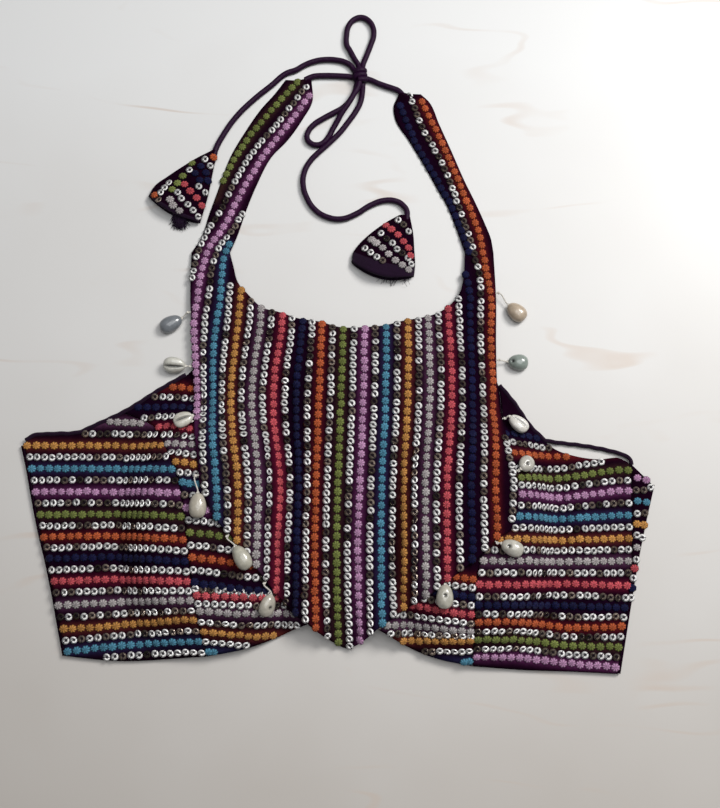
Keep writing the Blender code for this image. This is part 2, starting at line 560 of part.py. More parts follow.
def add_tuft(name, middle, across, out, half_width, reach, strands):
    """Frayed thread ends: tapered strands drawn out of the front faces of a small backing."""
    rows = 2
    columns = strands // rows
    low, high = (TASSEL_WALL + SEAM_GAP + height for height in TUFT_HEIGHTS)
    shape = bmesh.new()
    front = [[shape.verts.new((0, 0, 0)) for _ in range(columns + 1)] for _ in range(rows + 1)]
    rear = [[shape.verts.new((0, 0, 0)) for _ in range(columns + 1)] for _ in range(rows + 1)]
    for grid, depth in zip((front, rear), TUFT_DEPTHS):
        for row in range(rows + 1):
            for column in range(columns + 1):
                along = (2 * column / columns - 1) * half_width
                plan = middle + across * along - out * depth
                height = low + (high - low) * row / rows
                grid[row][column].co = (plan[0] * MM, plan[1] * MM, height * MM)
    faces = []
    for grid in (front, rear):
        for row in range(rows):
            for column in range(columns):
                face = shape.faces.new((grid[row][column], grid[row][column + 1],
                                        grid[row + 1][column + 1], grid[row + 1][column]))
                if grid is front:
                    faces.append(face)
    loop = [(0, c) for c in range(columns)] + [(r, columns) for r in range(rows)]
    loop += [(rows, c) for c in range(columns, 0, -1)] + [(r, 0) for r in range(rows, 0, -1)]
    for (row, column), (next_row, next_column) in zip(loop, loop[1:] + loop[:1]):
        shape.faces.new((front[row][column], front[next_row][next_column],
                         rear[next_row][next_column], rear[row][column]))
    grown = bmesh.ops.extrude_discrete_faces(shape, faces=faces)["faces"]
    for count, face in enumerate(grown):
        row, column = divmod(count, columns)
        spread, uneven = TUFT_FAN
        fan = (2 * (column + 0.5) / columns - 1) * spread + uneven * math.sin(5.1 * count)
        length = reach * (0.75 + 0.25 * math.sin(2.7 * count + 1.0))
        centre = face.calc_center_median()
        for vertex in face.verts:
            vertex.co = centre + (vertex.co - centre) * TUFT_TAPER
            vertex.co.x += (out[0] + across[0] * fan) * length * MM
            vertex.co.y += (out[1] + across[1] * fan) * length * MM
            vertex.co.z -= (TUFT_SAG[0] + TUFT_SAG[1] * row) * length / reach * MM
    bmesh.ops.recalc_face_normals(shape, faces=shape.faces)
    mesh = bpy.data.meshes.new(name)
    shape.to_mesh(mesh)
    shape.free()
    made = bpy.data.objects.new(name, mesh)
    bpy.context.collection.objects.link(made)
    made.data.materials.append(material("cord"))


def overlay_outline():
    """The overlay's free edge, from the left strap round the point to the right strap."""
    plan = overlay_plan()
    return np.concatenate([plan[::-1, 0], plan[0, 1:-1], plan[:, -1]])


def tie_point(outline, centre, towards):
    """Where a line from a shell meets the overlay's edge, and the edge's outward direction."""
    centre, towards = np.asarray(centre), np.asarray(towards)
    ray = towards - centre
    best = None
    for start, end in zip(outline[:-1], outline[1:]):
        run = end - start
        cross = ray[0] * run[1] - ray[1] * run[0]
        if abs(cross) < 1e-9:
            continue
        gap = start - centre
        far = (gap[0] * run[1] - gap[1] * run[0]) / cross
        share = (gap[0] * ray[1] - gap[1] * ray[0]) / cross
        if 0.0 <= share <= 1.0 and far > 0.0 and (best is None or far < best[0]):
            outward = np.array([-run[1], run[0]]) / np.linalg.norm(run)
            if outward @ ray > 0:
                outward = -outward
            best = (far, centre + far * ray, outward)
    return best[1], best[2]


def cowrie_frame(name, centre, towards):
    """Where a shell's underside rests, the axes of its length, width and height, from the slope."""
    x, y = centre
    if name in FLOOR_COWRIES:
        up = np.array([0.0, 0.0, 1.0])
        seat = np.array([x, y, 0.05])
    else:
        along_x, along_y = (float(value) for value in slope_of(np.array(x), np.array(y)))
        up = np.array([-along_x, -along_y, 1.0])
        up /= np.linalg.norm(up)
        seat = np.array([x, y, float(cloth_height(x, y))]) + up * (CLOTH + 0.5)
    out = np.array([x - towards[0], y - towards[1], 0.0])
    out -= up * (out @ up)
    out /= np.linalg.norm(out)
    return seat, out, np.cross(up, out), up


def add_cowrie(name, row, outline):
    """A cowrie: an egg with a flat side and a slit along it, and the thread that ties it."""
    x, y, length, width, roll, towards = row
    seat, out, aside, up = cowrie_frame(name, (x, y), towards)
    height = width * COWRIE_HEIGHT_SHARE
    turn = math.radians(roll)
    around = np.linspace(0.0, 2 * math.pi, COWRIE_SIDES, endpoint=False) - math.pi / 2
    rings = []
    for along in -np.cos(np.linspace(COWRIE_POLE, math.pi - COWRIE_POLE, COWRIE_RINGS)):
        wide = math.sqrt(1.0 - along**2) ** 0.8 * (1.0 + COWRIE_EGG * along)
        side = np.cos(around) * width / 2 * wide
        share = np.where(np.sin(around) > 0, COWRIE_DOME, 1.0 - COWRIE_DOME) * np.sin(around)
        share[0] += COWRIE_SLIT
        rise = share * height * wide
        turned_side = side * math.cos(turn) - rise * math.sin(turn)
        turned_rise = side * math.sin(turn) + rise * math.cos(turn)
        rings.append((along * length / 2, turned_side, turned_rise))
    lowest = min(ring[2].min() for ring in rings)
    points = [
        seat + out * along + aside * side[:, None] + up * (rise - lowest)[:, None]
        for along, side, rise in rings
    ]
    add_loft(f"cowrie_{name}", points, "shell")
    tip = seat - out * (length / 2 * math.cos(COWRIE_POLE) + 1.5 * SEAM_GAP) - up * lowest
    edge, outward = tie_point(outline, (x, y), towards)
    lift = float(on_cloth(edge, OVERLAY_LOW + OVERLAY_CLOTH / 2)[2])
    start = np.array([*(edge + outward * THREAD_START), lift])
    knot = start + np.array([*outward, 0.0]) * 0.8
    route = smooth_path(np.stack([start, knot, tip - out * 0.5, tip]), 5)
    add_thread(f"thread_{name}", route)


def add_thread(name, route):
    """A thread: a thin six-sided tube along its route."""
    run = np.gradient(route, axis=0)
    run /= np.linalg.norm(run, axis=1, keepdims=True)
    rings = []
    for place, direction in zip(route, run):
        side = np.cross(direction, (0.0, 0.0, 1.0))
        side /= np.linalg.norm(side)
        up = np.cross(side, direction)
        around = np.linspace(0.0, 2 * math.pi, 6, endpoint=False)[:, None]
        rings.append(place + THREAD_RADIUS * (np.cos(around) * side + np.sin(around) * up))
    add_loft(name, rings, "thread")


def main():
    """Clears the scene and builds every piece of the blouse."""
    for old in list(bpy.data.objects):
        bpy.data.objects.remove(old, do_unlink=True)
    add_back("left", SIDE_LEFT, -1)
    add_back("right", SIDE_RIGHT, 1)
    add_front()
    add_piping()
    add_cords()
    for side, (apex, corners, tuft) in TASSELS.items():
        add_tassel(side, apex, corners, tuft)
    outline = overlay_outline()
    for name, row in COWRIES.items():
        add_cowrie(name, row, outline)


main()
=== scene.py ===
"""Dresses a halter choli blouse for a render: embroidered cloth, rows of thread dots and sequins,
piped armholes, a satin neck cord tied in a bow, two cloth tassels and twelve tied cowrie shells.

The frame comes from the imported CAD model. The tables hold millimetres in the frame's axes: +X to
the viewer's right, +Y towards the neck, +Z up from the surface that the blouse lies on.
"""

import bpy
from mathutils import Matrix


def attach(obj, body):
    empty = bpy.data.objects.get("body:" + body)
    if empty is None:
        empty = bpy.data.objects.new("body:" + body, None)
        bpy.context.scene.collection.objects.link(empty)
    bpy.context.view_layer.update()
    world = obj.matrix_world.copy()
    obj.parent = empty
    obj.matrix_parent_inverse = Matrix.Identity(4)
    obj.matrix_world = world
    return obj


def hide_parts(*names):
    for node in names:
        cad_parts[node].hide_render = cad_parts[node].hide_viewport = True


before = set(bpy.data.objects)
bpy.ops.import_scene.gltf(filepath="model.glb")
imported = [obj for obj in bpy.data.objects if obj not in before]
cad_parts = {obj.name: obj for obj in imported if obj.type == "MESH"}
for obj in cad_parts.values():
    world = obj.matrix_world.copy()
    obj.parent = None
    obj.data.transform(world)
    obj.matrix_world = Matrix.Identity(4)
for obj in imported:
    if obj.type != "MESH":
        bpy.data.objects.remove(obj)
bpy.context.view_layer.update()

import math

import bpy
import numpy as np
from bpy.props import FloatProperty, FloatVectorProperty, IntProperty, PointerProperty

bl_info = {
    "name": "Choli Blouse",
    "version": (1, 0, 0),
    "blender": (4, 5, 0),
    "location": "View3D > Sidebar > Choli",
    "description": "Builds an embroidered halter choli blouse with its cord, tassels and shells",
    "category": "Object",
}

MM = 0.001

# Cloth, seams and layers, as in the CAD
CLOTH = 1.6
OVERLAY_CLOTH = 1.4
SEAM_GAP = 0.3
BASE_LOW = 1.9
OVERLAY_LOW = CLOTH + 1.45
OVERLAY_TOP = OVERLAY_LOW + OVERLAY_CLOTH
STRAP_DROP_START = 150.0
STRAP_DROP_LENGTH = 70.0
CORD_HEIGHT = 2.05
SLEEVE_RISE = 3.2

# The padded bust, the bridge between the cups and the lifted hem
HUMPS = (
    # centre x, centre y, half width, half length, height, share of the radius that slopes
    (-87, 5, 68, 94, 21, 0.50),
    (83, 2, 62, 94, 21, 0.48),
    (0, 45, 118, 122, 11, 0.40),
    (-26, -50, 26, 34, 12, 0.90),
    (25, -53, 26, 34, 12, 0.90),
    (-168, -12, 44, 76, 4, 0.90),
    (152, -24, 36, 64, 5, 0.90),
)
HUMP_ROUNDNESS = 2.5
BLEND_POWER = 3.0
CREASES = (
    # start x, start y, end x, end y, half width, depth (a negative depth is a ridge)
    (-41, 92, -37, -62, 11, 5.5),
    (32, 70, 28, -30, 11, 2.0),
    (153, 34, 156, -10, 7, -2.2),
    (140, 36, 142, -8, 7, 2.0),
    (-134, 66, -112, 56, 6, 1.5),
    (-130, 46, -110, 36, 6, 1.5),
)
TIP_DROOP = (2, -79, 13, 4.4)  # x, y, radius, depth

# Outline of the overlay, and the sizes that its mesh is laid out by
STRAP_WIDTH = 26.8
STRAP_LENGTH = 145
OVERLAY_SIDE = 190
NECK_STEP_SHARE = 1.25
OVERLAY_LEFT = ((-93.2, 30.4), (-95.7, 51.1), (-98.9, 69.2), (-101.2, 89.6), (-104.7, 130.9),
                (-106.8, 166.1), (-107.3, 194.7))
OVERLAY_RIGHT = ((106.3, 1.5), (110.5, 12.6), (111.1, 35.6), (107.6, 55.6), (104.8, 75.1),
                 (103.0, 94.1), (102.7, 126.5), (103.5, 158.7), (102.9, 194.7))
NECKLINE = ((-80.5, 194.7), (-78.0, 185.7), (-73.5, 171.5), (-67.9, 165.1), (-56.8, 154.5),
            (-45.2, 151.0), (-32.2, 146.0), (-17.2, 143.2), (-3.6, 139.0), (12.0, 139.0),
            (25.6, 140.4), (40.6, 144.6), (50.8, 146.7), (62.4, 150.3), (72.7, 157.3),
            (78.3, 164.4), (81.2, 174.3), (83.0, 194.7))
OVERLAY_HEM = ((-93.2, 30.4), (-82.8, 9.5), (-68.8, -5.9), (-55.0, -23.1), (-43.8, -38.3),
               (-34.7, -49.6), (-23.8, -57.1), (-15.3, -63.9), (-5.5, -70.2), (2.2, -73.4),
               (8.0, -71.0), (21.4, -60.2), (35.5, -50.2), (54.9, -38.3), (75.7, -22.5),
               (86.8, -14.2), (96.7, -4.6), (106.3, 1.5))
STRAP_LEFT_OUTER = ((-107.3, 195.0), (-101.6, 204.7), (-95.8, 223.8), (-90.3, 240.8),
                    (-81.7, 266.9), (-71.1, 286.6), (-60.7, 302.9), (-50.9, 314.8),
                    (-43.5, 325.3))
STRAP_LEFT_INNER = ((-80.5, 195.0), (-76.5, 205.4), (-69.3, 228.2), (-62.9, 245.2),
                    (-52.3, 266.9), (-41.9, 278.5), (-31.0, 294.9), (-24.1, 308.7),
                    (-24.8, 324.1))
STRAP_RIGHT_INNER = ((83.0, 195.0), (78.4, 209.8), (69.4, 233.3), (65.9, 239.6), (56.4, 257.9),
                     (44.8, 278.5), (34.9, 296.0), (34.0, 304.1), (38.4, 314.8))
STRAP_RIGHT_OUTER = ((102.9, 195.0), (101.3, 206.2), (98.1, 215.3), (90.7, 233.3),
                     (84.3, 247.4), (75.0, 270.7), (66.6, 291.1), (59.2, 308.7), (53.7, 314.1))

# Bust panels and wings: seams from hem to armhole, hems and top edges from left to right
SEAM_LEFT = ((-89.1, -78.2), (-93.7, -51.8), (-97.5, -31.4), (-100.9, -3.6), (-105.0, 22.6),
             (-110.9, 43.8), (-118.7, 57.9), (-127.2, 70.7), (-149.7, 81.6))
SEAM_RIGHT = ((82.3, -84.3), (84.7, -26.3), (90.4, -3.7), (98.9, 22.4), (103.0, 55.6),
              (105.2, 89.4), (104.1, 100.3))
CENTRE_SEAM = ((0.0, -50.0), (0.0, 134.0))
CUP_LEFT_TOP = ((-149.7, 81.6), (-123.4, 98.5), (-108.1, 107.5), (-92.0, 128.0), (-70.0, 151.0),
                (-57.0, 148.5), (-45.0, 145.5), (-32.0, 140.5), (-17.0, 137.0), (0.0, 134.0))
CUP_LEFT_HEM = ((-89.1, -78.2), (-63.2, -73.1), (-46.6, -67.5), (-31.3, -60.6), (-23.6, -57.4),
                (-10.0, -53.0), (0.0, -50.0))
CUP_RIGHT_TOP = ((0.0, 134.0), (12.0, 133.6), (25.6, 135.0), (40.0, 139.0), (62.0, 145.0),
                 (78.0, 148.0), (95.0, 122.0), (104.1, 100.3))
CUP_RIGHT_HEM = ((0.0, -50.0), (10.0, -54.0), (21.6, -60.6), (30.6, -66.2), (44.0, -73.7),
                 (58.7, -79.3), (82.3, -84.3))
WING_LEFT_TOP = ((-216.0, 60.0), (-214.5, 62.6), (-210.1, 65.4), (-197.5, 66.7),
                 (-177.4, 68.4), (-170.2, 71.8), (-149.7, 81.6))
WING_LEFT_HEM = ((-181.0, -78.0), (-150.2, -81.0), (-89.1, -78.2))
WING_RIGHT_TOP = ((104.1, 100.3), (113.3, 88.9), (124.9, 71.2), (134.0, 62.3), (141.2, 56.9),
                  (155.1, 52.2), (170.4, 50.2), (183.8, 51.0), (191.3, 47.0))
WING_RIGHT_HEM = ((82.3, -84.3), (115.5, -86.8), (150.0, -88.0), (176.4, -89.3))
SIDE_LEFT = (
    # fold x, fold y, seam x, seam y
    (-183.2, -78.0, -181.0, -78.0),
    (-187.3, -60.9, -185.1, -60.9),
    (-192.4, -39.1, -190.2, -39.1),
    (-197.6, -19.1, -195.4, -19.1),
    (-203.5, 0.9, -201.3, 0.9),
    (-209.9, 26.3, -207.7, 26.3),
    (-214.4, 45.7, -212.2, 45.7),
    (-218.2, 59.4, -216.0, 60.0),
)
SIDE_RIGHT = (
    (178.6, -89.3, 176.4, -89.3),
    (183.2, -67.0, 181.0, -67.0),
    (187.8, -44.9, 185.4, -44.9),
    (193.8, -17.1, 189.0, -16.5),
    (199.5, 5.8, 190.3, 8.0),
    (206.9, 33.0, 191.3, 47.0),
)
BACK_CENTRE = (-40.0, 45.0)  # low and high end of the back's centre edge
BACK_LAP = 8.0
LAP_RAMP = (23.0, 13.0)
BACK_ROWS = 60
BACK_COLUMNS = 80
FOLD_STEPS = 9
FOLD_MID_RADIUS = (CLOTH + SEAM_GAP) / 2
BACK_TOP = CLOTH / 2 + 2 * FOLD_MID_RADIUS + CLOTH / 2

# Colours of the stitched rows, as they repeat: dots in even rows, sequins in odd ones
ROW_COLOURS = (
    # red, green, blue as shown on a screen
    (208, 156, 198),
    (90, 152, 180),
    (214, 152, 82),
    (192, 184, 184),
    (214, 90, 100),
    (20, 21, 64),
    (202, 98, 58),
    (126, 136, 72),
)
OVERLAY_ROWS = (
    # y, then x of rows 0, 4, 8, 12, 16, 20, 24 and 28
    (170.0, -102.5, -71.5, -42.9, -15.7, 13.1, 42.5, 70.0, 99.6),
    (141.0, -103.7, -73.5, -42.9, -15.7, 13.1, 42.5, 70.7, 99.4),
    (88.5, -100.8, -75.7, -48.0, -17.2, 12.0, 41.6, 70.8, 99.3),
    (32.0, -97.0, -68.6, -42.0, -18.8, 10.0, 38.6, 65.8, 97.2),
    (-4.0, -93.0, -68.0, -42.9, -19.3, 8.7, 38.3, 65.5, 97.5),
    (-80.0, -93.0, -68.0, -45.5, -17.6, 10.3, 38.2, 65.5, 97.5),
)
STRAP_ROWS = {
    # row number: places from the strap's tip down
    -2: ((-34.6, 323.4), (-53.0, 301.8), (-68.4, 281.6), (-78.0, 266.1), (-86.1, 248.9),
         (-92.1, 234.0)),
    -1: ((-28.8, 319.5), (-47.9, 292.6), (-67.4, 267.6), (-79.0, 245.9), (-87.0, 228.1),
         (-99.0, 205.8), (-103.3, 192.3), (-105.9, 172.9)),
    0: ((-26.6, 312.6), (-37.2, 296.5), (-58.2, 267.2), (-75.2, 236.2), (-85.4, 213.7),
        (-94.8, 199.3), (-98.2, 187.4), (-101.7, 160.9)),
    1: ((-72.9, 223.6), (-76.9, 215.5), (-89.5, 195.3), (-92.5, 184.0), (-93.8, 162.0)),
    2: ((-81.4, 200.9), (-84.5, 191.2), (-85.4, 177.8), (-86.1, 158.7)),
    26: ((38.8, 305.0), (51.9, 270.2), (63.8, 241.9), (76.0, 205.0), (83.4, 178.1)),
    27: ((45.6, 312.6), (55.6, 285.8), (69.9, 257.1), (80.2, 225.8), (89.9, 191.6),
         (92.7, 172.2)),
    28: ((54.4, 308.0), (69.7, 272.9), (83.2, 237.7), (92.9, 209.5), (97.1, 181.1),
         (100.0, 162.7)),
}
EDGE_ROWS = {29: ((104.6, 62.0), (106.6, 50.0), (108.6, 36.0), (108.4, 22.0), (107.2, 9.0))}
ROWS_AT_EDGES = {
    # row number: the edge, the side on which it lies, its least distance from the edge, how far
    # beyond the edge it may start
    0: (OVERLAY_LEFT, 1, 1.9, 0.4),
    26: (STRAP_RIGHT_INNER, 1, 3.0, 6.0),
    28: (OVERLAY_RIGHT, -1, 2.4, 3.0),
}
PANEL_ROWS = {
    # panel: the x of its stations, then by row number the y at each
    "wing_left": ((-187, -153, -103), {
        6: (74.8, 75.3, 73.0), 3: (51.7, 51.3, 48.8), 0: (28.2, 28.1, 25.4), -3: (5.6, 5.9, 2.7),
        -6: (-15.6, -14.6, -18.2), -9: (-37.8, -36.3, -36.3), -12: (-61.4, -59.2, -54.5),
        -15: (-83.5, -78.6, -75.2)}),
    "wing_right": ((110, 145, 182), {
        10: (66.0, 63.0, 63.0), 11: (59.6, 57.0, 57.5), 12: (52.3, 51.7, 55.0),
        13: (41.4, 43.7, 50.0), 16: (25.2, 24.2, 28.9), 19: (3.4, 3.0, 4.8),
        22: (-17.5, -17.9, -17.2), 25: (-40.1, -39.1, -41.0), 28: (-55.8, -60.1, -59.6),
        32: (-78.4, -82.7, -85.5)}),
    "cup_left": ((-115, -60), {
        12: (99.5, 93.0), 10: (85.4, 79.0), 8: (71.3, 60.0), 6: (59.1, 51.3), 4: (47.0, 39.2),
        2: (33.8, 27.0), -2: (2.2, -3.9), -4: (-13.1, -20.0), -6: (-28.3, -36.0),
        -8: (-38.5, -40.3), -10: (-47.8, -51.0), -12: (-59.3, -65.2), -14: (-71.9, -77.6)}),
    "cup_right": ((40, 80), {
        -4: (-23.0, -29.0), -8: (-45.1, -51.4), -10: (-58.0, -62.0), -12: (-68.2, -67.8),
        -14: (-82.0, -81.2)}),
}
SIDE_STRIP = (
    # row number, then the x and y of a stitch on the turned strip of the back
    (16, 195.2, 37.6), (16, 201.0, 36.2), (17, 193.8, 29.4), (17, 199.0, 29.4),
    (17, 203.6, 31.2), (18, 194.6, 22.2), (18, 200.4, 21.4), (19, 193.8, 13.8),
    (19, 198.9, 14.2), (20, 193.4, 7.0), (20, 197.9, 6.4), (21, 192.9, -0.4),
    (21, 196.4, -2.0), (22, 192.6, -8.4), (23, 191.8, -16.4), (24, 190.4, -22.0),
    (25, 189.3, -28.4), (26, 188.2, -34.6), (27, 187.2, -41.0),
)
OVERLAY_MARGIN = 1.5  # from the overlay's edge to the middle of its outermost stitches
STITCH_MARGIN = 2.0  # the same on the other panels
HIDDEN_UNDER_OVERLAY = 3.0  # how far a panel's stitches go on under the overlay
STAIN = np.array([0.42, 0.17, 0.38])  # share of a row's red, green and blue in the ground by it
STAIN_STRENGTH = 0.34
STAIN_REACH = 3.2
DRIFT_ALONG = 0.12  # how far a stitch strays along its row, and across it
DRIFT_ACROSS = 0.18

# Shape of a thread dot and its spread: a middle value and how far it strays
DOT_SIDES = 16
DOT_RINGS = (
    # share of the radius, share of the height
    (0.36, 0.97),
    (0.78, 0.70),
    (1.0, 0.0),
)
DOT_UNDERSIDE = -0.1
PETAL_NOTCH = 0.08  # share of the radius that is missing between two petals
PETAL_DROP = 0.45  # share of the height that is missing there
DOT_STRETCH = 1.1  # of a dot along its row, so that neighbours touch
DOT_SIZE = (1.0, 0.035)
DOT_SIZE_LIMITS = (0.9, 1.08)
DOT_RISE = (1.0, 0.08)
DOT_BRIGHTNESS = (0.82, 0.07)

# Shape of a sequin and of the thread across it, and their spread
SEQUIN_SIDES = 12
SEQUIN_HOLE_RADIUS = 0.52
SEQUIN_CUP_SHARE = 0.36  # of the width, at the underside's lowest ring
SEQUIN_LEVELS = (0.08, 0.19, -0.05)  # at the hole, the rim and the underside
SEQUIN_SEAT = 0.45
# Painted reflection: this share of the sequins is painted near white for glints of the lamps, the
# rest dark brown for dim surroundings
PAINTED_GLINT_SHARE = 0.7
PAINTED_GLINT_SEQUINS = ((0.88, 1.0), (1.0, 0.985, 0.97))  # low and high value, cast of the colour
PAINTED_DIM_SEQUINS = ((0.1, 0.45), (1.0, 0.8, 0.66))
BAR_STATIONS = (
    # share of the length, height
    (-0.5, 0.22),
    (-0.1, 0.12),
    (0.0, 0.0),
    (0.1, 0.12),
    (0.5, 0.22),
)
BAR_LENGTH_SHARE = 0.96  # of a sequin's width
BAR_WIDTH = 0.5
BAR_HEIGHT = 0.2
BAR_TURN = (0.8, 0.35)  # radians away from the row

# Cord routes on the surface; a height above it is given where the cord isn't flat
NECK_CORD_LEFT = ((-29.6, 324.6), (-26.0, 326.4), (-23.1, 327.4), (-16.7, 327.9), (-8.0, 327.8),
                  (-0.1, 327.4), (5.7, 327.1))
NECK_CORD_RIGHT = ((41.5, 311.5), (39.2, 314.7), (37.2, 316.5), (33.7, 318.0), (28.6, 319.8),
                   (22.9, 322.0), (16.4, 324.9))
BOW_LOOP_UP = ((9.2, 334.7), (5.6, 341.7), (2.0, 348.8), (0.6, 351.3), (0.3, 360.1),
               (2.0, 367.3), (6.3, 372.2), (11.7, 373.4), (16.2, 371.0), (19.4, 365.8),
               (19.9, 359.3), (17.6, 351.3), (14.7, 343.3), (12.0, 335.5))
BOW_LOOP_SIDE = (
    (8.0, 322.3), (6.2, 315.3), (3.1, 309.2), (-2.2, 303.3), (-9.3, 299.0), (-16.4, 294.9),
    (-22.8, 290.4), (-26.6, 285.5), (-27.7, 280.2), (-25.2, 276.4), (-20.9, 274.9),
    (-16.3, 276.4), (-12.4, 280.9), (-9.3, 287.0, 2.1), (-6.1, 292.7, 2.9), (-2.8, 298.3, 4.6),
    (1.1, 303.9, 5.6), (5.7, 311.9, 5.7), (9.3, 319.8, 5.2),
)
TAIL_RIGHT = ((12.0, 322.3), (11.7, 315.4), (10.4, 307.7), (6.8, 300.0), (2.1, 293.0),
              (-3.4, 285.4), (-9.1, 279.2), (-14.7, 273.7), (-20.4, 268.3), (-25.3, 262.7),
              (-29.3, 254.6), (-30.2, 245.6), (-27.3, 235.2), (-21.3, 226.3), (-13.2, 221.2),
              (-3.3, 219.7), (7.2, 223.4), (17.7, 230.0), (27.5, 233.4), (36.0, 232.6),
              (40.4, 229.6), (42.9, 225.6), (42.6, 219.0))
TAIL_LEFT = ((5.6, 332.4), (3.5, 335.5), (-0.9, 338.5), (-8.1, 340.2), (-15.3, 340.4),
             (-22.5, 339.2), (-29.7, 336.3), (-36.1, 332.4), (-43.3, 329.6), (-53.2, 320.8),
             (-66.3, 309.3), (-78.2, 296.5), (-86.6, 283.6), (-92.6, 271.0), (-93.6, 266.0))

# The knot's wrap
KNOT_CENTRE = (9.5, 327.2)
KNOT_TURNS = 2.4
KNOT_START_ANGLE = -0.6
KNOT_HALF_WIDTH = 3.1
KNOT_WIDENING = 0.5
KNOT_TOP = 3.6  # from the centre towards the neck
KNOT_LENGTH = 8.4
KNOT_MIDDLE = 4.2  # above the surface
KNOT_HALF_HEIGHT = 1.9
KNOT_CORD_RADIUS = 2.1

# Tassels: flattened cones of cloth, open at the wide end
TASSELS = {
    # side: one edge and the other, from the tip to the mouth; bulge of the mouth; share of the
    # length from which the lining shows
    "left": (((-94.8, 271.0), (-106.0, 265.0), (-117.2, 257.4), (-126.4, 250.6), (-134.6, 243.9),
              (-138.8, 236.0)),
             ((-91.0, 269.5), (-93.2, 259.4), (-94.7, 250.1), (-97.0, 236.1), (-99.4, 226.0),
              (-101.8, 216.3)), 3.5, 0.95),
    "right": (((36.8, 222.4), (28.3, 217.4), (21.3, 212.3), (15.2, 207.2), (9.1, 200.8),
               (4.8, 194.0), (4.0, 187.5)),
              ((45.2, 221.4), (47.3, 208.5), (47.9, 196.7), (48.3, 185.8), (47.4, 177.4)),
              6.0, 0.84),
}
TASSEL_WALL = 1.4
TASSEL_SIDES = 48
TASSEL_RINGS = 26  # from the tip to the mouth
TASSEL_INNER_RINGS = (1.0, 0.93, 0.85, 0.75, 0.6, 0.45)  # shares of the length, back inside
TASSEL_FOLDS = 5
TASSEL_FOLD_DEPTH = 0.06
TASSEL_HEIGHTS = (4.1, 8.7)  # at the tip and at the mouth
STITCH_REACH = 0.9  # share of a tassel's half width within which its stitches sit
SECTION_WAIST = 0.31
TASSEL_ROWS = {
    # side: row number, then the places of its stitches from one edge to the other
    "left": (
        (12, ((-93.7, 264.6),)),
        (13, ((-99.3, 262.5), (-95.7, 257.8))),
        (10, ((-102.0, 257.5), (-98.5, 252.5), (-97.0, 247.0), (-106.0, 252.0),
              (-102.5, 247.0))),
        (9, ((-103.2, 242.2), (-98.9, 238.0))),
        (8, ((-112.8, 243.5), (-109.0, 238.3), (-104.4, 233.7), (-100.9, 228.2))),
        (7, ((-117.5, 237.0), (-114.5, 232.6), (-109.9, 228.5), (-106.3, 224.3),
             (-102.8, 219.9))),
        (6, ((-122.7, 231.8), (-120.2, 227.7), (-115.9, 224.1))),
        (14, ((-108.3, 260.0), (-114.5, 249.6), (-118.0, 244.5), (-121.3, 239.6))),
        (15, ((-110.1, 254.1), (-124.0, 244.6), (-126.6, 240.7), (-129.2, 236.8),
              (-130.1, 231.8))),
        (12, ((-133.9, 236.3),)),
    ),
    "right": (
        (9, ((36.6, 217.9), (40.2, 214.6), (43.6, 209.6))),
        (8, ((27.9, 214.3), (31.9, 210.7), (36.3, 206.9), (40.3, 202.2), (43.6, 197.3),
             (45.0, 191.9))),
        (7, ((24.6, 207.6), (28.2, 203.8), (32.3, 200.2), (35.4, 196.2), (39.3, 193.2),
             (43.1, 189.6), (45.4, 185.8))),
        (6, ((18.0, 203.6), (21.2, 200.4), (25.5, 197.0), (29.6, 192.4), (34.2, 188.3),
             (39.0, 184.6), (43.6, 181.6))),
        (5, ((13.6, 196.6), (17.5, 193.1), (21.6, 190.1), (25.4, 187.6))),
    ),
}
TUFTS = {
    # side: place along the mouth as a share, half width, reach, heading x and y, number of
    # thread ends, thickness
    "left": (0.36, 5.6, 8.0, -0.15, -0.98, 420, 0.24),
    "right": (0.27, 10.5, 4.4, -0.36, -0.93, 60, 0.15),
}

# Piping on the armholes, and the stretch of it that has come loose on the right
PIPING_RADIUS = 1.4
PIPING_CLEAR = -0.6  # less than nothing: it is sewn over the edge
PIPING_LEFT = WING_LEFT_TOP[1:] + CUP_LEFT_TOP[1:3]
PIPING_RIGHT = WING_RIGHT_TOP[:4]
LOOSE_PIPING = ((144.0, 61.6, 1.6), (157.4, 60.0, 1.5), (170.7, 57.8, 1.5), (181.5, 55.2, 1.6),
                (189.0, 52.2, 2.4), (191.6, 49.0, 3.0), (192.0, 46.5, 3.2))

# Cowrie shells and the edge of the overlay that each is tied to
COWRIES = {
    # name: centre x, centre y, length, width, roll in degrees, point towards which its thread
    # runs, colour as shown on a screen, place of a pierced hole along its length or None
    "left_1": (-119.8, 143.8, 16.0, 11.0, 0, (-107.3, 150.6), (122, 126, 132), None),
    "left_2": (-116.2, 114.2, 15.0, 11.5, 150, (-105.4, 113.5), (196, 194, 186), None),
    "left_3": (-105.4, 71.4, 13.0, 10.4, 160, (-99.6, 74.0), (200, 196, 186), None),
    "left_4": (-93.8, 17.4, 16.0, 11.2, 0, (-93.9, 29.9), (188, 180, 166), None),
    "left_5": (-64.8, -15.4, 16.5, 10.6, 0, (-69.6, -7.4), (184, 180, 166), None),
    "left_6": (-52.0, -43.8, 14.5, 10.8, 0, (-49.6, -31.0), (184, 178, 166), 0.0),
    "right_1": (117.7, 152.0, 15.0, 11.5, 0, (107.3, 161.6), (186, 168, 148), None),
    "right_2": (117.9, 116.7, 13.5, 11.0, 0, (103.5, 117.7), (140, 150, 144), -0.6),
    "right_3": (112.8, 69.8, 14.5, 11.2, 180, (104.3, 76.5), (212, 208, 202), None),
    "right_4": (115.4, 43.4, 12.0, 10.2, 0, (108.9, 38.6), (196, 192, 184), -0.3),
    "right_5": (106.8, -9.4, 14.5, 10.4, 0, (96.4, -5.0), (194, 190, 180), -0.35),
    "right_6": (63.4, -39.8, 15.0, 10.8, 0, (63.9, -30.1), (186, 182, 170), -0.15),
}
COWRIE_RINGS = 34
COWRIE_SIDES = 56
COWRIE_HEIGHT_SHARE = 0.72
COWRIE_EGG = 0.14
COWRIE_DOME = 0.58
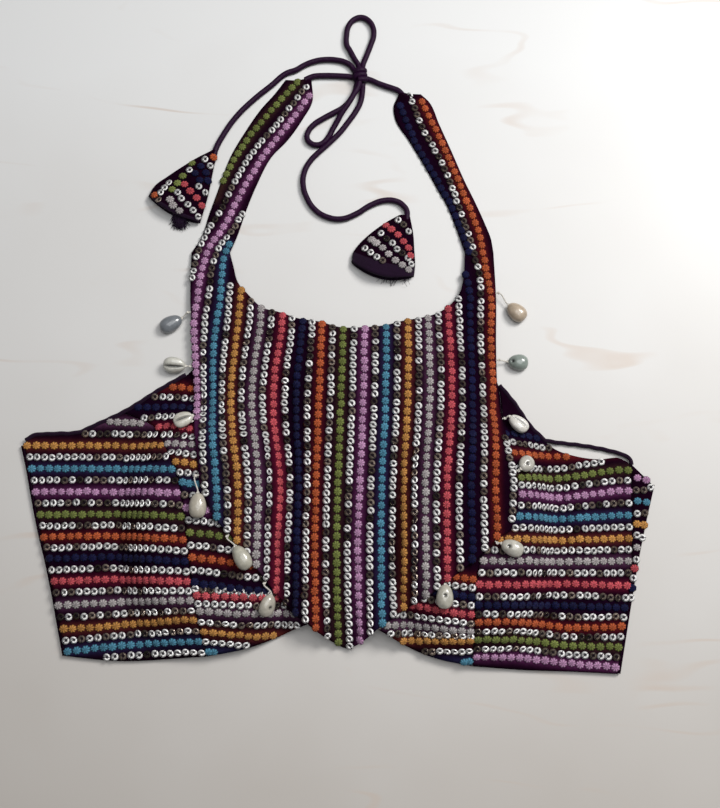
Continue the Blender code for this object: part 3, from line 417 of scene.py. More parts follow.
COWRIE_POLE = 0.1
SLIT_HALF_WIDTH = 0.17  # radians round the shell
SLIT_DEPTH = 0.24  # share of the height
TEETH_PLACE = 0.34  # radians from the slit's middle
TEETH_HALF_WIDTH = 0.16
TEETH_DEPTH = 0.035
TEETH_PITCH = 34
HOLE_RADIUS = 1.05
HOLE_DEPTH = 1.2
FLOOR_COWRIES = ("left_1", "left_2", "right_1", "right_2")
THREAD_START = 1.0
THREAD_RADIUS = 0.6

# Camera and frame of the photograph
CAMERA_TARGET = (0.010, 0.0884, 0.0)
CAMERA_DISTANCE = 0.68
CAMERA_ELEVATION = 80.0
CAMERA_LENS = 44.554
FLOOR_HALF = 2.5
FLOOR_DROP = 0.02
LIGHTS = (
    # name, place in metres, side in metres, power, colour
    ("key_light", (0.85, 0.75, 1.15), 0.55, 24.5, (1.0, 0.99, 0.97)),
    ("overhead_light", (0.12, 0.22, 1.55), 1.1, 12.0, (0.97, 0.985, 1.0)),
)
BACKDROP_COLOUR = (0.86, 0.88, 0.92, 1.0)
BACKDROP_STRENGTH = 0.15


def screen(colour):
    """Linear light from a colour of 0 to 255 as a screen shows it (the sRGB curve)."""
    share = np.asarray(colour, float) / 255
    return np.where(share <= 0.04045, share / 12.92, ((share + 0.055) / 1.055) ** 2.4)


def size_setting(name, description, millimetres):
    """A length in a settings group."""
    return FloatProperty(name=name, description=description, default=millimetres * MM,
                         unit="LENGTH", subtype="DISTANCE")


def colour_setting(name, description, shown):
    """A colour in a settings group, given as a screen shows it."""
    return FloatVectorProperty(name=name, description=description, default=tuple(screen(shown)),
                               subtype="COLOR", min=0.0, max=1.0)


class ClothSettings(bpy.types.PropertyGroup):
    """Sizes and colours of the cloth."""

    grid_step: size_setting("Cloth mesh step", "Distance between the points of a cloth's surface",
                            2.0)
    turned_edge: size_setting("Turned edge", "How far a piece's outermost points bend down", 0.5)
    ground: colour_setting("Ground colour", "The plum cotton under the stitches", (21, 2, 18))
    lining: colour_setting("Lining colour", "The plain cotton inside the blouse", (23, 3, 27))
    piping: colour_setting("Piping colour", "The corded cotton on the armholes", (24, 3, 27))


class TrimSettings(bpy.types.PropertyGroup):
    """Sizes and colours of the stitches, sequins, cords and shells."""

    dot_width: size_setting("Dot width", "Width of one thread dot", 5.7)
    dot_height: size_setting("Dot height", "How far a thread dot stands proud", 1.25)
    dot_pitch: size_setting("Dot pitch", "Distance between the dots of a row", 5.8)
    sequin_width: size_setting("Sequin width", "Width of one sequin", 5.0)
    sequin_pitch: size_setting("Sequin pitch", "Distance between the sequins of a row", 5.1)
    sequin_tilt: FloatProperty(
        name="Sequin tilt", description="How far a sequin may lean", default=math.radians(7),
        unit="ROTATION", subtype="ANGLE")
    cord_width: size_setting("Cord width", "Thickness of the neck cord", 4.0)
    cord_colour: colour_setting("Cord colour", "The satin of the neck cord", (28, 2, 31))
    tuft_colour: colour_setting("Tuft colour", "The frayed threads in the tassels", (28, 6, 36))
    thread_colour: colour_setting("Tie colour", "The thread that ties the shells",
                                  (208, 203, 194))
    seed: IntProperty(
        name="Seed", description="Starts the unevenness of the handwork", default=7, min=0)


# Surfaces


def ease(share):
    """Rises smoothly from 0 to 1 as the share does: 3s^2 - 2s^3."""
    share = np.clip(share, 0.0, 1.0)
    return share * share * (3.0 - 2.0 * share)


def cloth_height(x, y):
    """Height of the front's underside: the base, plus the humps joined by a power sum, less each
    crease, a bell across a line."""
    x = np.asarray(x, float)
    y = np.asarray(y, float)
    total = np.zeros_like(x)
    for centre_x, centre_y, half_x, half_y, height, slope in HUMPS:
        across = np.abs((x - centre_x) / half_x) ** HUMP_ROUNDNESS
        along = np.abs((y - centre_y) / half_y) ** HUMP_ROUNDNESS
        radius = (across + along) ** (1.0 / HUMP_ROUNDNESS)
        total += (height * ease((1.0 - radius) / slope)) ** BLEND_POWER
    raised = total ** (1.0 / BLEND_POWER)
    for start_x, start_y, end_x, end_y, half_width, depth in CREASES:
        run_x = end_x - start_x
        run_y = end_y - start_y
        share = ((x - start_x) * run_x + (y - start_y) * run_y) / (run_x**2 + run_y**2)
        share = np.clip(share, 0.0, 1.0)
        away = np.hypot(x - start_x - share * run_x, y - start_y - share * run_y)
        raised = raised - depth * np.exp(-((away / half_width) ** 2))
    drop = ease((y - STRAP_DROP_START) / STRAP_DROP_LENGTH)
    base = BASE_LOW - (BASE_LOW + OVERLAY_LOW) * drop
    droop_x, droop_y, droop_radius, droop_depth = TIP_DROOP
    away = np.hypot(x - droop_x, y - droop_y)
    base = base - droop_depth * np.exp(-((away / droop_radius) ** 2))
    return base + np.maximum(raised, 0.0)


def slope_of(x, y, reach=1.0):
    """The height's slope along x and y, from its values a millimetre to each side."""
    along_x = (cloth_height(x + reach, y) - cloth_height(x - reach, y)) / (2 * reach)
    along_y = (cloth_height(x, y + reach) - cloth_height(x, y - reach)) / (2 * reach)
    return along_x, along_y


def on_cloth(plan, above):
    """Points over a plan, at a distance above the front's underside, square to its slope."""
    x, y = plan[..., 0], plan[..., 1]
    along_x, along_y = slope_of(x, y)
    height = cloth_height(x, y) + above * np.sqrt(1.0 + along_x**2 + along_y**2)
    return np.stack([x, y, height], axis=-1)


def unit(vectors):
    """Vectors at length 1."""
    return vectors / np.linalg.norm(vectors, axis=-1, keepdims=True)


def cloth_normals(plan):
    """Unit normals of the front over a plan: (-slope x, -slope y, 1)."""
    along_x, along_y = slope_of(plan[..., 0], plan[..., 1])
    return unit(np.stack([-along_x, -along_y, np.ones_like(along_x)], axis=-1))


def distances(path):
    """How far each point of a line lies along it."""
    return np.concatenate([[0.0], np.cumsum(np.linalg.norm(np.diff(path, axis=0), axis=1))])


def at_stations(stations, travelled, path):
    """The points of a line at the stations, where travelled is its points' distance along it."""
    return np.stack([np.interp(stations, travelled, axis) for axis in path.T], axis=-1)


def smooth_path(points, count):
    """Even stations on a smooth curve through the points (cubic, chord-length tangents)."""
    points = np.asarray(points, float)
    knots = distances(points)
    chords = np.linalg.norm(np.diff(points, axis=0), axis=1)
    tangents = np.gradient(points, knots, axis=0)
    fine = np.linspace(0.0, knots[-1], max(12 * len(points), 4 * count))
    place = np.clip(np.searchsorted(knots, fine, side="right") - 1, 0, len(chords) - 1)
    share = ((fine - knots[place]) / chords[place])[:, None]
    chord = chords[place][:, None]
    curve = (
        (2 * share**3 - 3 * share**2 + 1) * points[place]
        + (share**3 - 2 * share**2 + share) * chord * tangents[place]
        + (3 * share**2 - 2 * share**3) * points[place + 1]
        + (share**3 - share**2) * chord * tangents[place + 1]
    )
    travelled = distances(curve)
    return at_stations(np.linspace(0.0, travelled[-1], count), travelled, curve)


def path_length(points):
    """Length of a line of points."""
    return float(np.linalg.norm(np.diff(np.asarray(points, float), axis=0), axis=1).sum())


def patch(left, right, low, high):
    """A plan grid between four edges that meet at the corners (a Coons patch); rows run up."""
    rows, columns = len(left), len(low)
    up = np.linspace(0.0, 1.0, rows)[:, None, None]
    over = low[:, 0] - low[0, 0]
    over = (over / over[-1])[None, :, None]
    sides = (1 - over) * left[:, None] + over * right[:, None]
    ends = (1 - up) * low[None] + up * high[None]
    corners = (
        (1 - over) * (1 - up) * low[0]
        + over * (1 - up) * low[-1]
        + (1 - over) * up * high[0]
        + over * up * high[-1]
    )
    return (sides + ends - corners).reshape(rows, columns, 2)


def quads_between(index):
    """Corner numbers of the quads in a grid of point numbers."""
    return np.stack([index[:-1, :-1], index[:-1, 1:], index[1:, 1:], index[1:, :-1]],
                    axis=-1).reshape(-1, 4)


def grid_quads(rows, columns, closed=False):
    """Corner numbers of a grid's quads, counted row by row, joined round each row if closed."""
    index = np.arange(rows * columns).reshape(rows, columns)
    if closed:
        index = np.concatenate([index, index[:, :1]], axis=1)
    return quads_between(index)


def outline_of(plan):
    """The rim of a plan grid, once round."""
    return np.concatenate([plan[0], plan[1:, -1], plan[-1, -2::-1], plan[-2:0:-1, 0]])


def inside_by(points, outline):
    """Distance of plan points from an outline: positive inside it, negative outside.

    A point is inside when a ray towards +x crosses the outline an odd number of times."""
    start = outline
    end = np.roll(outline, -1, axis=0)
    run = end - start
    gap = points[:, None] - start[None]
    share = np.clip((gap * run).sum(-1) / np.maximum((run**2).sum(-1), 1e-12), 0.0, 1.0)
    away = np.linalg.norm(gap - share[..., None] * run, axis=-1).min(axis=1)
    spans = (start[:, 1] > points[:, None, 1]) != (end[:, 1] > points[:, None, 1])
    rise = np.where(run[:, 1] == 0.0, 1e-12, run[:, 1])
    crossing = start[:, 0] + gap[..., 1] / rise * run[:, 0]
    odd = (spans & (crossing > points[:, None, 0])).sum(axis=1) % 2 == 1
    return np.where(odd, away, -away)


# Meshes


def put_mesh(name, points, quads, triangles=(), uv=None, paint=None, flat=False):
    """An object from arrays: points in millimetres, the corner numbers of its quads and
    triangles, a plan place for the UV map and a colour for each point."""
    quads = np.asarray(quads, int).reshape(-1, 4)
    triangles = np.asarray(triangles, int).reshape(-1, 3)
    corners = np.concatenate([quads.ravel(), triangles.ravel()])
    starts = np.concatenate([4 * np.arange(len(quads)),
                             4 * len(quads) + 3 * np.arange(len(triangles))])
    mesh = bpy.data.meshes.new(name)
    mesh.vertices.add(len(points))
    mesh.vertices.foreach_set("co", (np.asarray(points) * MM).astype(np.float32).ravel())
    mesh.loops.add(len(corners))
    mesh.loops.foreach_set("vertex_index", corners.astype(np.int32))
    mesh.polygons.add(len(starts))
    mesh.polygons.foreach_set("loop_start", starts.astype(np.int32))
    mesh.update(calc_edges=True)
    if uv is not None:
        layer = mesh.uv_layers.new(name="UVMap")
        layer.data.foreach_set("uv", np.asarray(uv)[corners].astype(np.float32).ravel())
    if paint is not None:
        layer = mesh.attributes.new("tint", "FLOAT_COLOR", "POINT")
        colours = np.column_stack([paint, np.ones(len(paint))])
        layer.data.foreach_set("color", colours.astype(np.float32).ravel())
    mesh.validate()
    if not flat:
        mesh.shade_smooth()
    made = bpy.data.objects.new(name, mesh)
    bpy.context.scene.collection.objects.link(made)
    return made


def dress(made, finishes, nodes=()):
    """Gives a piece its materials and body, and hides the CAD nodes that it stands for."""
    for finish in finishes:
        made.data.materials.append(finish)
    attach(made, "root")
    if nodes:
        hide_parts(*nodes)
    return made


def thicken(made, wall):
    """Solidify: a wall behind the surface, its inside and rim in the lining's material."""
    solid = made.modifiers.new("wall", "SOLIDIFY")
    solid.thickness = wall * MM
    solid.offset = -1.0
    solid.use_even_offset = True
    solid.material_offset = 1
    solid.material_offset_rim = 1
    return made


def copies(shape, places, along, aside, up):
    """Joined copies of a shape: place + x * along + y * aside + z * up for each of its points."""
    points, quads, triangles = shape
    moved = (
        places[:, None]
        + points[None, :, 0, None] * along[:, None]
        + points[None, :, 1, None] * aside[:, None]
        + points[None, :, 2, None] * up[:, None]
    )
    first = (np.arange(len(places)) * len(points))[:, None, None]
    return (moved.reshape(-1, 3), (quads[None] + first).reshape(-1, 4),
            (triangles[None] + first).reshape(-1, 3))


def tube_frames(path):
    """Unit vectors beside and above each point of a path, level where they can be."""
    along = unit(np.gradient(path, axis=0))
    aside = np.cross(along, (0.0, 0.0, 1.0))
    flat = np.linalg.norm(aside, axis=1) < 1e-3
    aside[flat] = (1.0, 0.0, 0.0)
    aside = unit(aside)
    return aside, np.cross(aside, along)


def once_round(sides):
    """Even angles once round a ring."""
    return np.linspace(0.0, 2 * math.pi, sides, endpoint=False)


def ring_steps(sides):
    """The number of each point on a ring, and of the next one."""
    here = np.arange(sides)
    return here, (here + 1) % sides


def end_caps(rings, sides):
    """Fans that close the first and last of a stack of rings, round two points added last."""
    here, after = ring_steps(sides)
    total = rings * sides
    last = total - sides
    return np.concatenate([
        np.column_stack([np.full(sides, total), after, here]),
        np.column_stack([np.full(sides, total + 1), last + here, last + after]),
    ])


def tube(path, radius, sides):
    """A profile carried along a path: a circle, cos * aside + sin * up, closed at both ends."""
    path = np.asarray(path, float)
    aside, up = tube_frames(path)
    around = once_round(sides)
    radius = np.broadcast_to(np.asarray(radius, float), (len(path),))
    ring = (np.cos(around)[None, :, None] * aside[:, None]
            + np.sin(around)[None, :, None] * up[:, None])
    points = path[:, None] + radius[:, None, None] * ring
    points = np.concatenate([points.reshape(-1, 3), path[:1], path[-1:]])
    return points, grid_quads(len(path), sides, closed=True), end_caps(len(path), sides)


def join(parts):
    """Several (points, quads, triangles) as one."""
    points, quads, triangles, first = [], [], [], 0
    for part_points, part_quads, part_triangles in parts:
        points.append(part_points)
        quads.append(np.asarray(part_quads, int).reshape(-1, 4) + first)
        triangles.append(np.asarray(part_triangles, int).reshape(-1, 3) + first)
        first += len(part_points)
    return np.concatenate(points), np.concatenate(quads), np.concatenate(triangles)


# Shader maths


class Value:
    """A number socket: + - * / ** between sockets and numbers add Math nodes."""

    def __init__(self, finish, socket):
        self.finish = finish
        self.socket = socket

    def maths(self, operation, *others):
        values = {number: value for number, value in enumerate(others)}
        return self.finish.node("ShaderNodeMath", {"operation": operation}, values)

    def __add__(self, other):
        return self.maths("ADD", self, other)

    def __sub__(self, other):
        return self.maths("SUBTRACT", self, other)

    def __rsub__(self, other):
        return self.maths("SUBTRACT", other, self)

    def __mul__(self, other):
        return self.maths("MULTIPLY", self, other)

    def __truediv__(self, other):
        return self.maths("DIVIDE", self, other)

    def __pow__(self, other):
        return self.maths("POWER", self, other)

    def sine(self):
        return self.maths("SINE", self)


class Finish:
    """A material in the making around one Principled shader."""

    def __init__(self, name):
        self.material = bpy.data.materials.new(name)
        self.material.use_nodes = True
        self.tree = self.material.node_tree
        self.shader = self.tree.nodes["Principled BSDF"]

    def node(self, kind, settings=None, sockets=None, output=0):
        """Adds a node: its settings first, then its sockets' values or links."""
        made = self.tree.nodes.new(kind)
        for name, value in (settings or {}).items():
            setattr(made, name, value)
        for name, value in (sockets or {}).items():
            self.feed(made.inputs[name], value)
        return Value(self, made.outputs[output])

    def feed(self, target, value):
        """Links a socket, or sets its value."""
        if isinstance(value, Value):
            self.tree.links.new(value.socket, target)
        elif hasattr(value, "__len__") and len(value) == 3 and target.type == "RGBA":
            target.default_value = (*value, 1.0)
        else:
            target.default_value = value

    def mix(self, factor, first, second, blend="MIX"):
        """A colour between two colours."""
        return self.node("ShaderNodeMix", {"data_type": "RGBA", "blend_type": blend},
                         {0: factor, 6: first, 7: second}, output=2)

    def place(self, scale=1.0):
        """Object coordinates in millimetres, times a scale."""
        coordinates = self.node("ShaderNodeTexCoord", output=3)
        return self.node("ShaderNodeVectorMath", {"operation": "SCALE"},
                         {0: coordinates, 3: scale / MM})

    def noise(self, scale, detail=2.0):
        """Noise whose blots are about 1 / scale millimetres wide."""
        return self.node("ShaderNodeTexNoise", {}, {"Vector": self.place(), "Scale": scale,
                                                    "Detail": detail})

    def split(self, vector):
        """The three numbers of a vector."""
        first = self.node("ShaderNodeSeparateXYZ", {}, {0: vector})
        node = first.socket.node
        return [Value(self, output) for output in node.outputs]

    def tint(self):
        """The colour painted on the mesh."""
        return self.node("ShaderNodeAttribute", {"attribute_name": "tint"})

    def clamp(self, value):
        """A number kept between 0 and 1."""
        return self.node("ShaderNodeClamp", {}, {0: value})

    def tone_and_shade(self, value, blue=None):
        """The painted colour times a value, or times another one in blue: uneven tone on the
        ground and the shells, painted shade on the stitches.
        """
        shade = self.node("ShaderNodeCombineXYZ", {}, {0: value, 1: value,
                                                       2: value if blue is None else blue})
        return self.mix(1.0, self.tint(), shade, "MULTIPLY")

    def dyed(self, colour, lighter, darker, blots):
        """A colour that wanders between a darker and a lighter share of itself."""
        light = tuple(min(1.0, channel * lighter + 0.001) for channel in colour)
        dark = tuple(channel * darker for channel in colour)
        return self.mix(self.noise(blots, 3.0), dark, light)

    def bump(self, height, distance):
        """Height in a Bump node that feeds the shader's normal."""
        made = self.node("ShaderNodeBump", {}, {"Height": height, "Strength": 1.0,
                                                "Distance": distance * MM})
        self.feed(self.shader.inputs["Normal"], made)

    def set(self, **sockets):
        """Sets or links the shader's own sockets, named with underscores for spaces."""
        for name, value in sockets.items():
            self.feed(self.shader.inputs[name.replace("_", " ")], value)
        return self


def weave_height(finish, pitch):
    """Height of a plain weave: the product of a wave along x and one along y."""
    x, y, _ = finish.split(finish.place(2 * math.pi / pitch))
    return x.sine() * y.sine() * 0.5 + 0.5


def ground_cloth():
    """Plum cotton, tinted by the rows, with a plain weave and uneven dye."""
    finish = Finish("ground_cloth")
    blotch = finish.noise(0.35, 3.0) * 0.9 + 0.55
    finish.set(Base_Color=finish.tone_and_shade(blotch), Roughness=0.9, Specular_IOR_Level=0.02)
    finish.bump(weave_height(finish, 0.55) + finish.noise(0.5) * 1.5, 0.25)
    return finish.material


def plain_cotton(name, colour, pitch=0.6, sheen=0.05):
    """Plain dyed cotton with a fine weave."""
    finish = Finish(name)
    finish.set(Base_Color=finish.dyed(colour, 1.5, 0.7, 0.6), Roughness=0.8, Sheen_Weight=sheen,
               Sheen_Roughness=0.45, Specular_IOR_Level=0.12)
    finish.bump(weave_height(finish, pitch) + finish.noise(0.8), 0.2)
    return finish.material


def satin(name, colour):
    """Rolled satin with small puckers and a soft gloss."""
    finish = Finish(name)
    finish.set(Base_Color=finish.dyed(colour, 1.6, 0.6, 0.5), Roughness=0.5,
               Specular_IOR_Level=0.12)
    finish.bump(finish.noise(1.1, 3.0) + finish.noise(0.3), 0.35)
    return finish.material


def stitch_thread():
    """Satin stitches that run from a dot's middle to its rim, as ridges round the angle, with
    painted shade between the petals and towards the rim.
    """
    finish = Finish("stitch_thread")
    uv = finish.node("ShaderNodeUVMap", {"uv_map": "UVMap"})
    u, v, _ = finish.split(uv)
    u = u - 0.5
    v = v - 0.5
    angle = finish.node("ShaderNodeMath", {"operation": "ARCTAN2"}, {0: v, 1: u})
    petal = (angle * 8.0 + math.pi / 2).sine() * 0.5 + 0.5
    strand = (angle * 26.0 + finish.noise(0.8) * 6.0).sine() * 0.5 + 0.5
    radius = (u * u + v * v) ** 0.5
    ridge = petal * 0.6 + strand * 0.4
    # Painted shade: the colour is darker in the gaps between petals and towards the dot's rim,
    # where shade falls; the strands and the noise give the thread's own stripes and uneven tone
    gap_shade_and_strands = petal**0.5 * 0.7 + strand * 0.3 + finish.noise(0.25) * 0.2 + 0.02
    rim = gap_shade_and_strands - (radius * 1.95) ** 4.0 * 0.35
    finish.set(Base_Color=finish.tone_and_shade(rim), Roughness=0.55, Sheen_Weight=0.02,
               Sheen_Roughness=0.4, Specular_IOR_Level=0.12)
    finish.bump(ridge, 0.3)
    return finish.material


def sequin_silver():
    """Thin silvered plastic with painted reflection: each sequin's painted colour stands for the
    glint or the dim surroundings that it reflects.
    """
    finish = Finish("sequin_silver")
    red, _, _ = finish.split(finish.tint())
    # Painted glint: the sequins painted near white are made almost matt, so they look bright from
    # any side
    finish.set(Base_Color=finish.tint(), Metallic=1.0 - red * 0.95,
               Roughness=finish.noise(0.3) * 0.12 + 0.22, Specular_IOR_Level=1.0)
    return finish.material


def shell_glaze():
    """Polished shell: painted colour, faint blotches and a clear gloss."""
    finish = Finish("shell_glaze")
    blotch = finish.noise(0.32, 4.0) * 0.9 + 0.55
    finish.set(Base_Color=finish.tone_and_shade(blotch, blotch * 0.98), Roughness=0.32, Coat_Weight=0.6,
               Coat_Roughness=0.12, Specular_IOR_Level=0.5)
    finish.bump(finish.noise(0.9, 3.0), 0.08)
    return finish.material


def studio_floor():
    """A plain pale stone: lighter away from the viewer, with painted shade for the light's
    falloff, uneven, with a few thin veins.
    """
    finish = Finish("studio_floor")
    x, y, _ = finish.split(finish.place())
    # Painted shade: the stone darkens towards the viewer as the light falls off; the noise gives
    # its uneven tone
    far = finish.clamp(y / 525.0 + finish.noise(0.006, 3.0) * 0.5 + 0.1)
    stone = finish.mix(far, (0.42, 0.39, 0.36), (0.60, 0.60, 0.597))
    grain = finish.node("ShaderNodeCombineXYZ", {}, {0: x * 0.22, 1: y, 2: 0.0})
    streak = finish.node("ShaderNodeTexNoise", {}, {"Vector": grain, "Scale": 0.011,
                                                    "Detail": 3.0})
    offset = (streak - 0.5) * 110.0
    vein = finish.clamp(1.0 - offset * offset)
    faint = vein * finish.clamp(finish.noise(0.012) * 5.0 - 2.4) * 0.5
    finish.set(Base_Color=finish.mix(faint, stone, (0.45, 0.35, 0.28)), Roughness=0.45)
    return finish.material


class Workbox:
    """The materials that the operators share while one main run lasts."""

    finishes = {}

    @classmethod
    def finish(cls, name, maker, *values):
        """A material, made once."""
        if name not in cls.finishes:
            cls.finishes[name] = maker(*values)
        return cls.finishes[name]


def ground():
    """The stitched cloth's material."""
    return Workbox.finish("ground", ground_cloth)


def lining():
    """The inside's material, also that of the threads across the sequins."""
    colour = tuple(bpy.context.scene.choli_cloth.lining)
    return Workbox.finish("lining", plain_cotton, "lining_cotton", colour)


# Plans of the pieces


def overlay_grids(step):
    """Plan grids of the overlay and its two straps; each strap's first row is the end of the
    overlay's top row, so the three join as one cloth."""
    strap_columns = max(6, round(STRAP_WIDTH / step))
    strap_rows = round(STRAP_LENGTH / step)
    straps = []
    for outer, inner in ((STRAP_LEFT_OUTER, STRAP_LEFT_INNER),
                         (STRAP_RIGHT_INNER, STRAP_RIGHT_OUTER)):
        over = np.linspace(0.0, 1.0, strap_columns)[None, :, None]
        first = smooth_path(outer, strap_rows)[:, None]
        second = smooth_path(inner, strap_rows)[:, None]
        straps.append((1 - over) * first + over * second)
    neck = smooth_path(NECKLINE, round(path_length(NECKLINE) / (NECK_STEP_SHARE * step)))
    high = np.concatenate([straps[0][0], neck[1:-1], straps[1][0]])
    hem = smooth_path(OVERLAY_HEM, 400)
    share = (high[:, 0] - high[0, 0]) / (high[-1, 0] - high[0, 0])
    hem_x = hem[0, 0] + share * (hem[-1, 0] - hem[0, 0])
    low = np.stack([hem_x, np.interp(hem_x, hem[:, 0], hem[:, 1])], axis=-1)
    rows = round(OVERLAY_SIDE / step)
    left = smooth_path(OVERLAY_LEFT, rows)
    right = smooth_path(OVERLAY_RIGHT, rows)
    left[-1] = high[0]
    right[-1] = high[-1]
    return patch(left, right, low, high), straps[0], straps[1]


def overlay_outline(step=4.0):
    """The overlay's and straps' rim, once round, in plan."""
    front, left, right = overlay_grids(step)
    width = left.shape[1]
    return np.concatenate([
        front[0], front[1:-1, -1], right[:, -1], right[-1, -2:0:-1], right[::-1, 0],
        front[-1, -width - 1:width - 1:-1], left[:, -1], left[-1, -2:0:-1], left[::-1, 0],
        front[-2:0:-1, 0],
    ])


def panel_grid(name, step):
    """A bust panel's or wing's plan grid, a seam's gap short of its neighbours."""
    left_side = [row[2:] for row in SIDE_LEFT]
    right_side = [row[2:] for row in SIDE_RIGHT]
    left, right, low, high = {
        "cup_left": (SEAM_LEFT, CENTRE_SEAM, CUP_LEFT_HEM, CUP_LEFT_TOP),
        "cup_right": (CENTRE_SEAM, SEAM_RIGHT, CUP_RIGHT_HEM, CUP_RIGHT_TOP),
        "wing_left": (left_side, SEAM_LEFT, WING_LEFT_HEM, WING_LEFT_TOP),
        "wing_right": (SEAM_RIGHT, right_side, WING_RIGHT_HEM, WING_RIGHT_TOP),
    }[name]
    rows = round(path_length(left) / step)
    columns = round(path_length(low) / step)
    plan = patch(smooth_path(left, rows), smooth_path(right, rows), smooth_path(low, columns),
                 smooth_path(high, columns))
    plan[:, 0, 0] += SEAM_GAP / 2
    plan[:, -1, 0] -= SEAM_GAP / 2
    return plan


def overlay_row_paths():
    """The overlay's rows, as row number and plan path: strap places, then every station below,
    with x between the measured rows in proportion."""
    paths = []
    for number in range(-2, 29):
        places = list(STRAP_ROWS.get(number, ()))
        if number >= 0:
            for y, *measured in OVERLAY_ROWS:
                if not places or y < places[-1][1] - 8.0:
                    places.append((float(np.interp(number, np.arange(8) * 4, measured)), y))
        path = smooth_path(places, 2 * round(path_length(places)))
        if number in ROWS_AT_EDGES:
            edge, side, inset, loss = ROWS_AT_EDGES[number]
            edge = np.array(edge)
            x = np.interp(path[:, 1], edge[:, 1], edge[:, 0])
            inside = side * (path[:, 0] - x)
            near = (path[:, 1] > edge[:, 1].min()) & (path[:, 1] < edge[:, 1].max())
            near &= inside > -loss
            path[near, 0] = (x + side * np.maximum(inside, inset))[near]
        paths.append((number, path))
    for number, places in EDGE_ROWS.items():
        paths.append((number, smooth_path(places, 2 * round(path_length(places)))))
    return paths


def panel_row_paths(name):
    """A panel's rows: y at each of its stations, between the measured rows in proportion."""
    stations, measured = PANEL_ROWS[name]
    numbers = sorted(measured)
    table = np.array([measured[number] for number in numbers], float)
    rim = outline_of(panel_grid(name, 6.0))
    x = np.arange(rim[:, 0].min(), rim[:, 0].max(), 0.5)
    paths = []
    for number in range(numbers[0], numbers[-1] + 1):
        heights = [np.interp(number, numbers, column) for column in table.T]
        paths.append((number, np.column_stack([x, np.interp(x, stations, heights)])))
    return paths


def row_colour(number):
    """A dot row's colour in linear light."""
    return screen(ROW_COLOURS[(number % 16) // 2])


def ground_tint(plan, paths):
    """The ground's colour at plan points: plum, with a share of the nearest dot row's colour that
    falls off as a bell with distance."""
    base = np.array(bpy.context.scene.choli_cloth.ground)
    dots = [(number, path[::2]) for number, path in paths if number % 2 == 0]
    targets = np.concatenate([path for _, path in dots])
    colours = np.concatenate([np.tile(row_colour(number), (len(path), 1))
                              for number, path in dots])
    flat = plan.reshape(-1, 2)
    tint = np.zeros((len(flat), 3))
    block = 1500
    for start in range(0, len(flat), block):
        points = flat[start:start + block]
        away = ((points[:, None] - targets[None]) ** 2).sum(-1)
        nearest = away.argmin(axis=1)
        near = np.exp(-away[np.arange(len(points)), nearest] / STAIN_REACH**2)
        near = STAIN_STRENGTH * near[:, None]
        tint[start:start + block] = (1 - near) * base + near * colours[nearest] * STAIN
    return tint


# Stitches and sequins


def ring_points(around, radius, level):
    """Points round the z axis at a radius and a level."""
    level = np.broadcast_to(level, around.shape)
    return np.column_stack([radius * np.cos(around), radius * np.sin(around), level])


def dot_shape(width, height):
    """A thread dot: a dome of eight petals, where the points between petals lie lower and
    further in, closed below."""
    sides = DOT_SIDES
    around = once_round(sides)
    gap = np.arange(sides) % 2
    rings = []
    for share, rise in DOT_RINGS:
        radius = width / 2 * share * (1.0 - PETAL_NOTCH * gap * share)
        level = height * rise * (1.0 - PETAL_DROP * gap * share)
        rings.append(ring_points(around, radius, level))
    points = np.concatenate([*rings, [[0.0, 0.0, height], [0.0, 0.0, DOT_UNDERSIDE]]])
    quads = grid_quads(len(DOT_RINGS), sides, closed=True)[:, ::-1]
    return points, quads, end_caps(len(DOT_RINGS), sides)[:, ::-1]


def sequin_shape(width):
    """A cupped ring: a section of three points carried round the hole."""
    sides = SEQUIN_SIDES
    around = once_round(sides)
    radii = (SEQUIN_HOLE_RADIUS, width / 2, width * SEQUIN_CUP_SHARE)
    rings = [ring_points(around, radius, level) for radius, level in zip(radii, SEQUIN_LEVELS)]
    here, after = ring_steps(sides)
    quads = []
    for inner, outer in ((0, 1), (1, 2), (2, 0)):
        quads.append(np.column_stack([here + inner * sides, here + outer * sides,
                                      after + outer * sides, after + inner * sides]))
    return np.concatenate(rings), np.concatenate(quads), np.zeros((0, 3), int)


def bar_shape(length, width, height):
    """The thread across a sequin: a low three-sided bar that bends down through the hole."""
    shares, level = np.array(BAR_STATIONS).T
    count = len(BAR_STATIONS)
    rings = [np.column_stack([shares * length, np.full(count, side), level + rise])
             for side, rise in ((-width / 2, 0.0), (width / 2, 0.0), (0.0, height))]
    points = np.stack(rings, axis=1).reshape(-1, 3)
    last = 3 * (count - 1)
    ends = np.array([(0, 2, 1), (last, last + 1, last + 2)])
    return points, grid_quads(count, 3, closed=True), ends


def even_stations(travelled, allowed, pitch):
    """Places a pitch apart, or nearly, from end to end of each allowed stretch of a row."""
    padded = np.concatenate([[False], allowed, [False]]).astype(int)
    starts = np.nonzero(np.diff(padded) == 1)[0]
    ends = np.nonzero(np.diff(padded) == -1)[0] - 1
    found = [np.zeros(0)]
    for start, end in zip(travelled[starts], travelled[ends]):
        count = round((end - start) / pitch) + 1
        middle = (start + end) / 2
        found.append(np.linspace(start, end, count) if count > 1 else np.array([middle]))
    return np.concatenate(found)


def square_to(up, along):
    """Directions without their share along up, at length 1."""
    return unit(along - up * (along * up).sum(-1, keepdims=True))


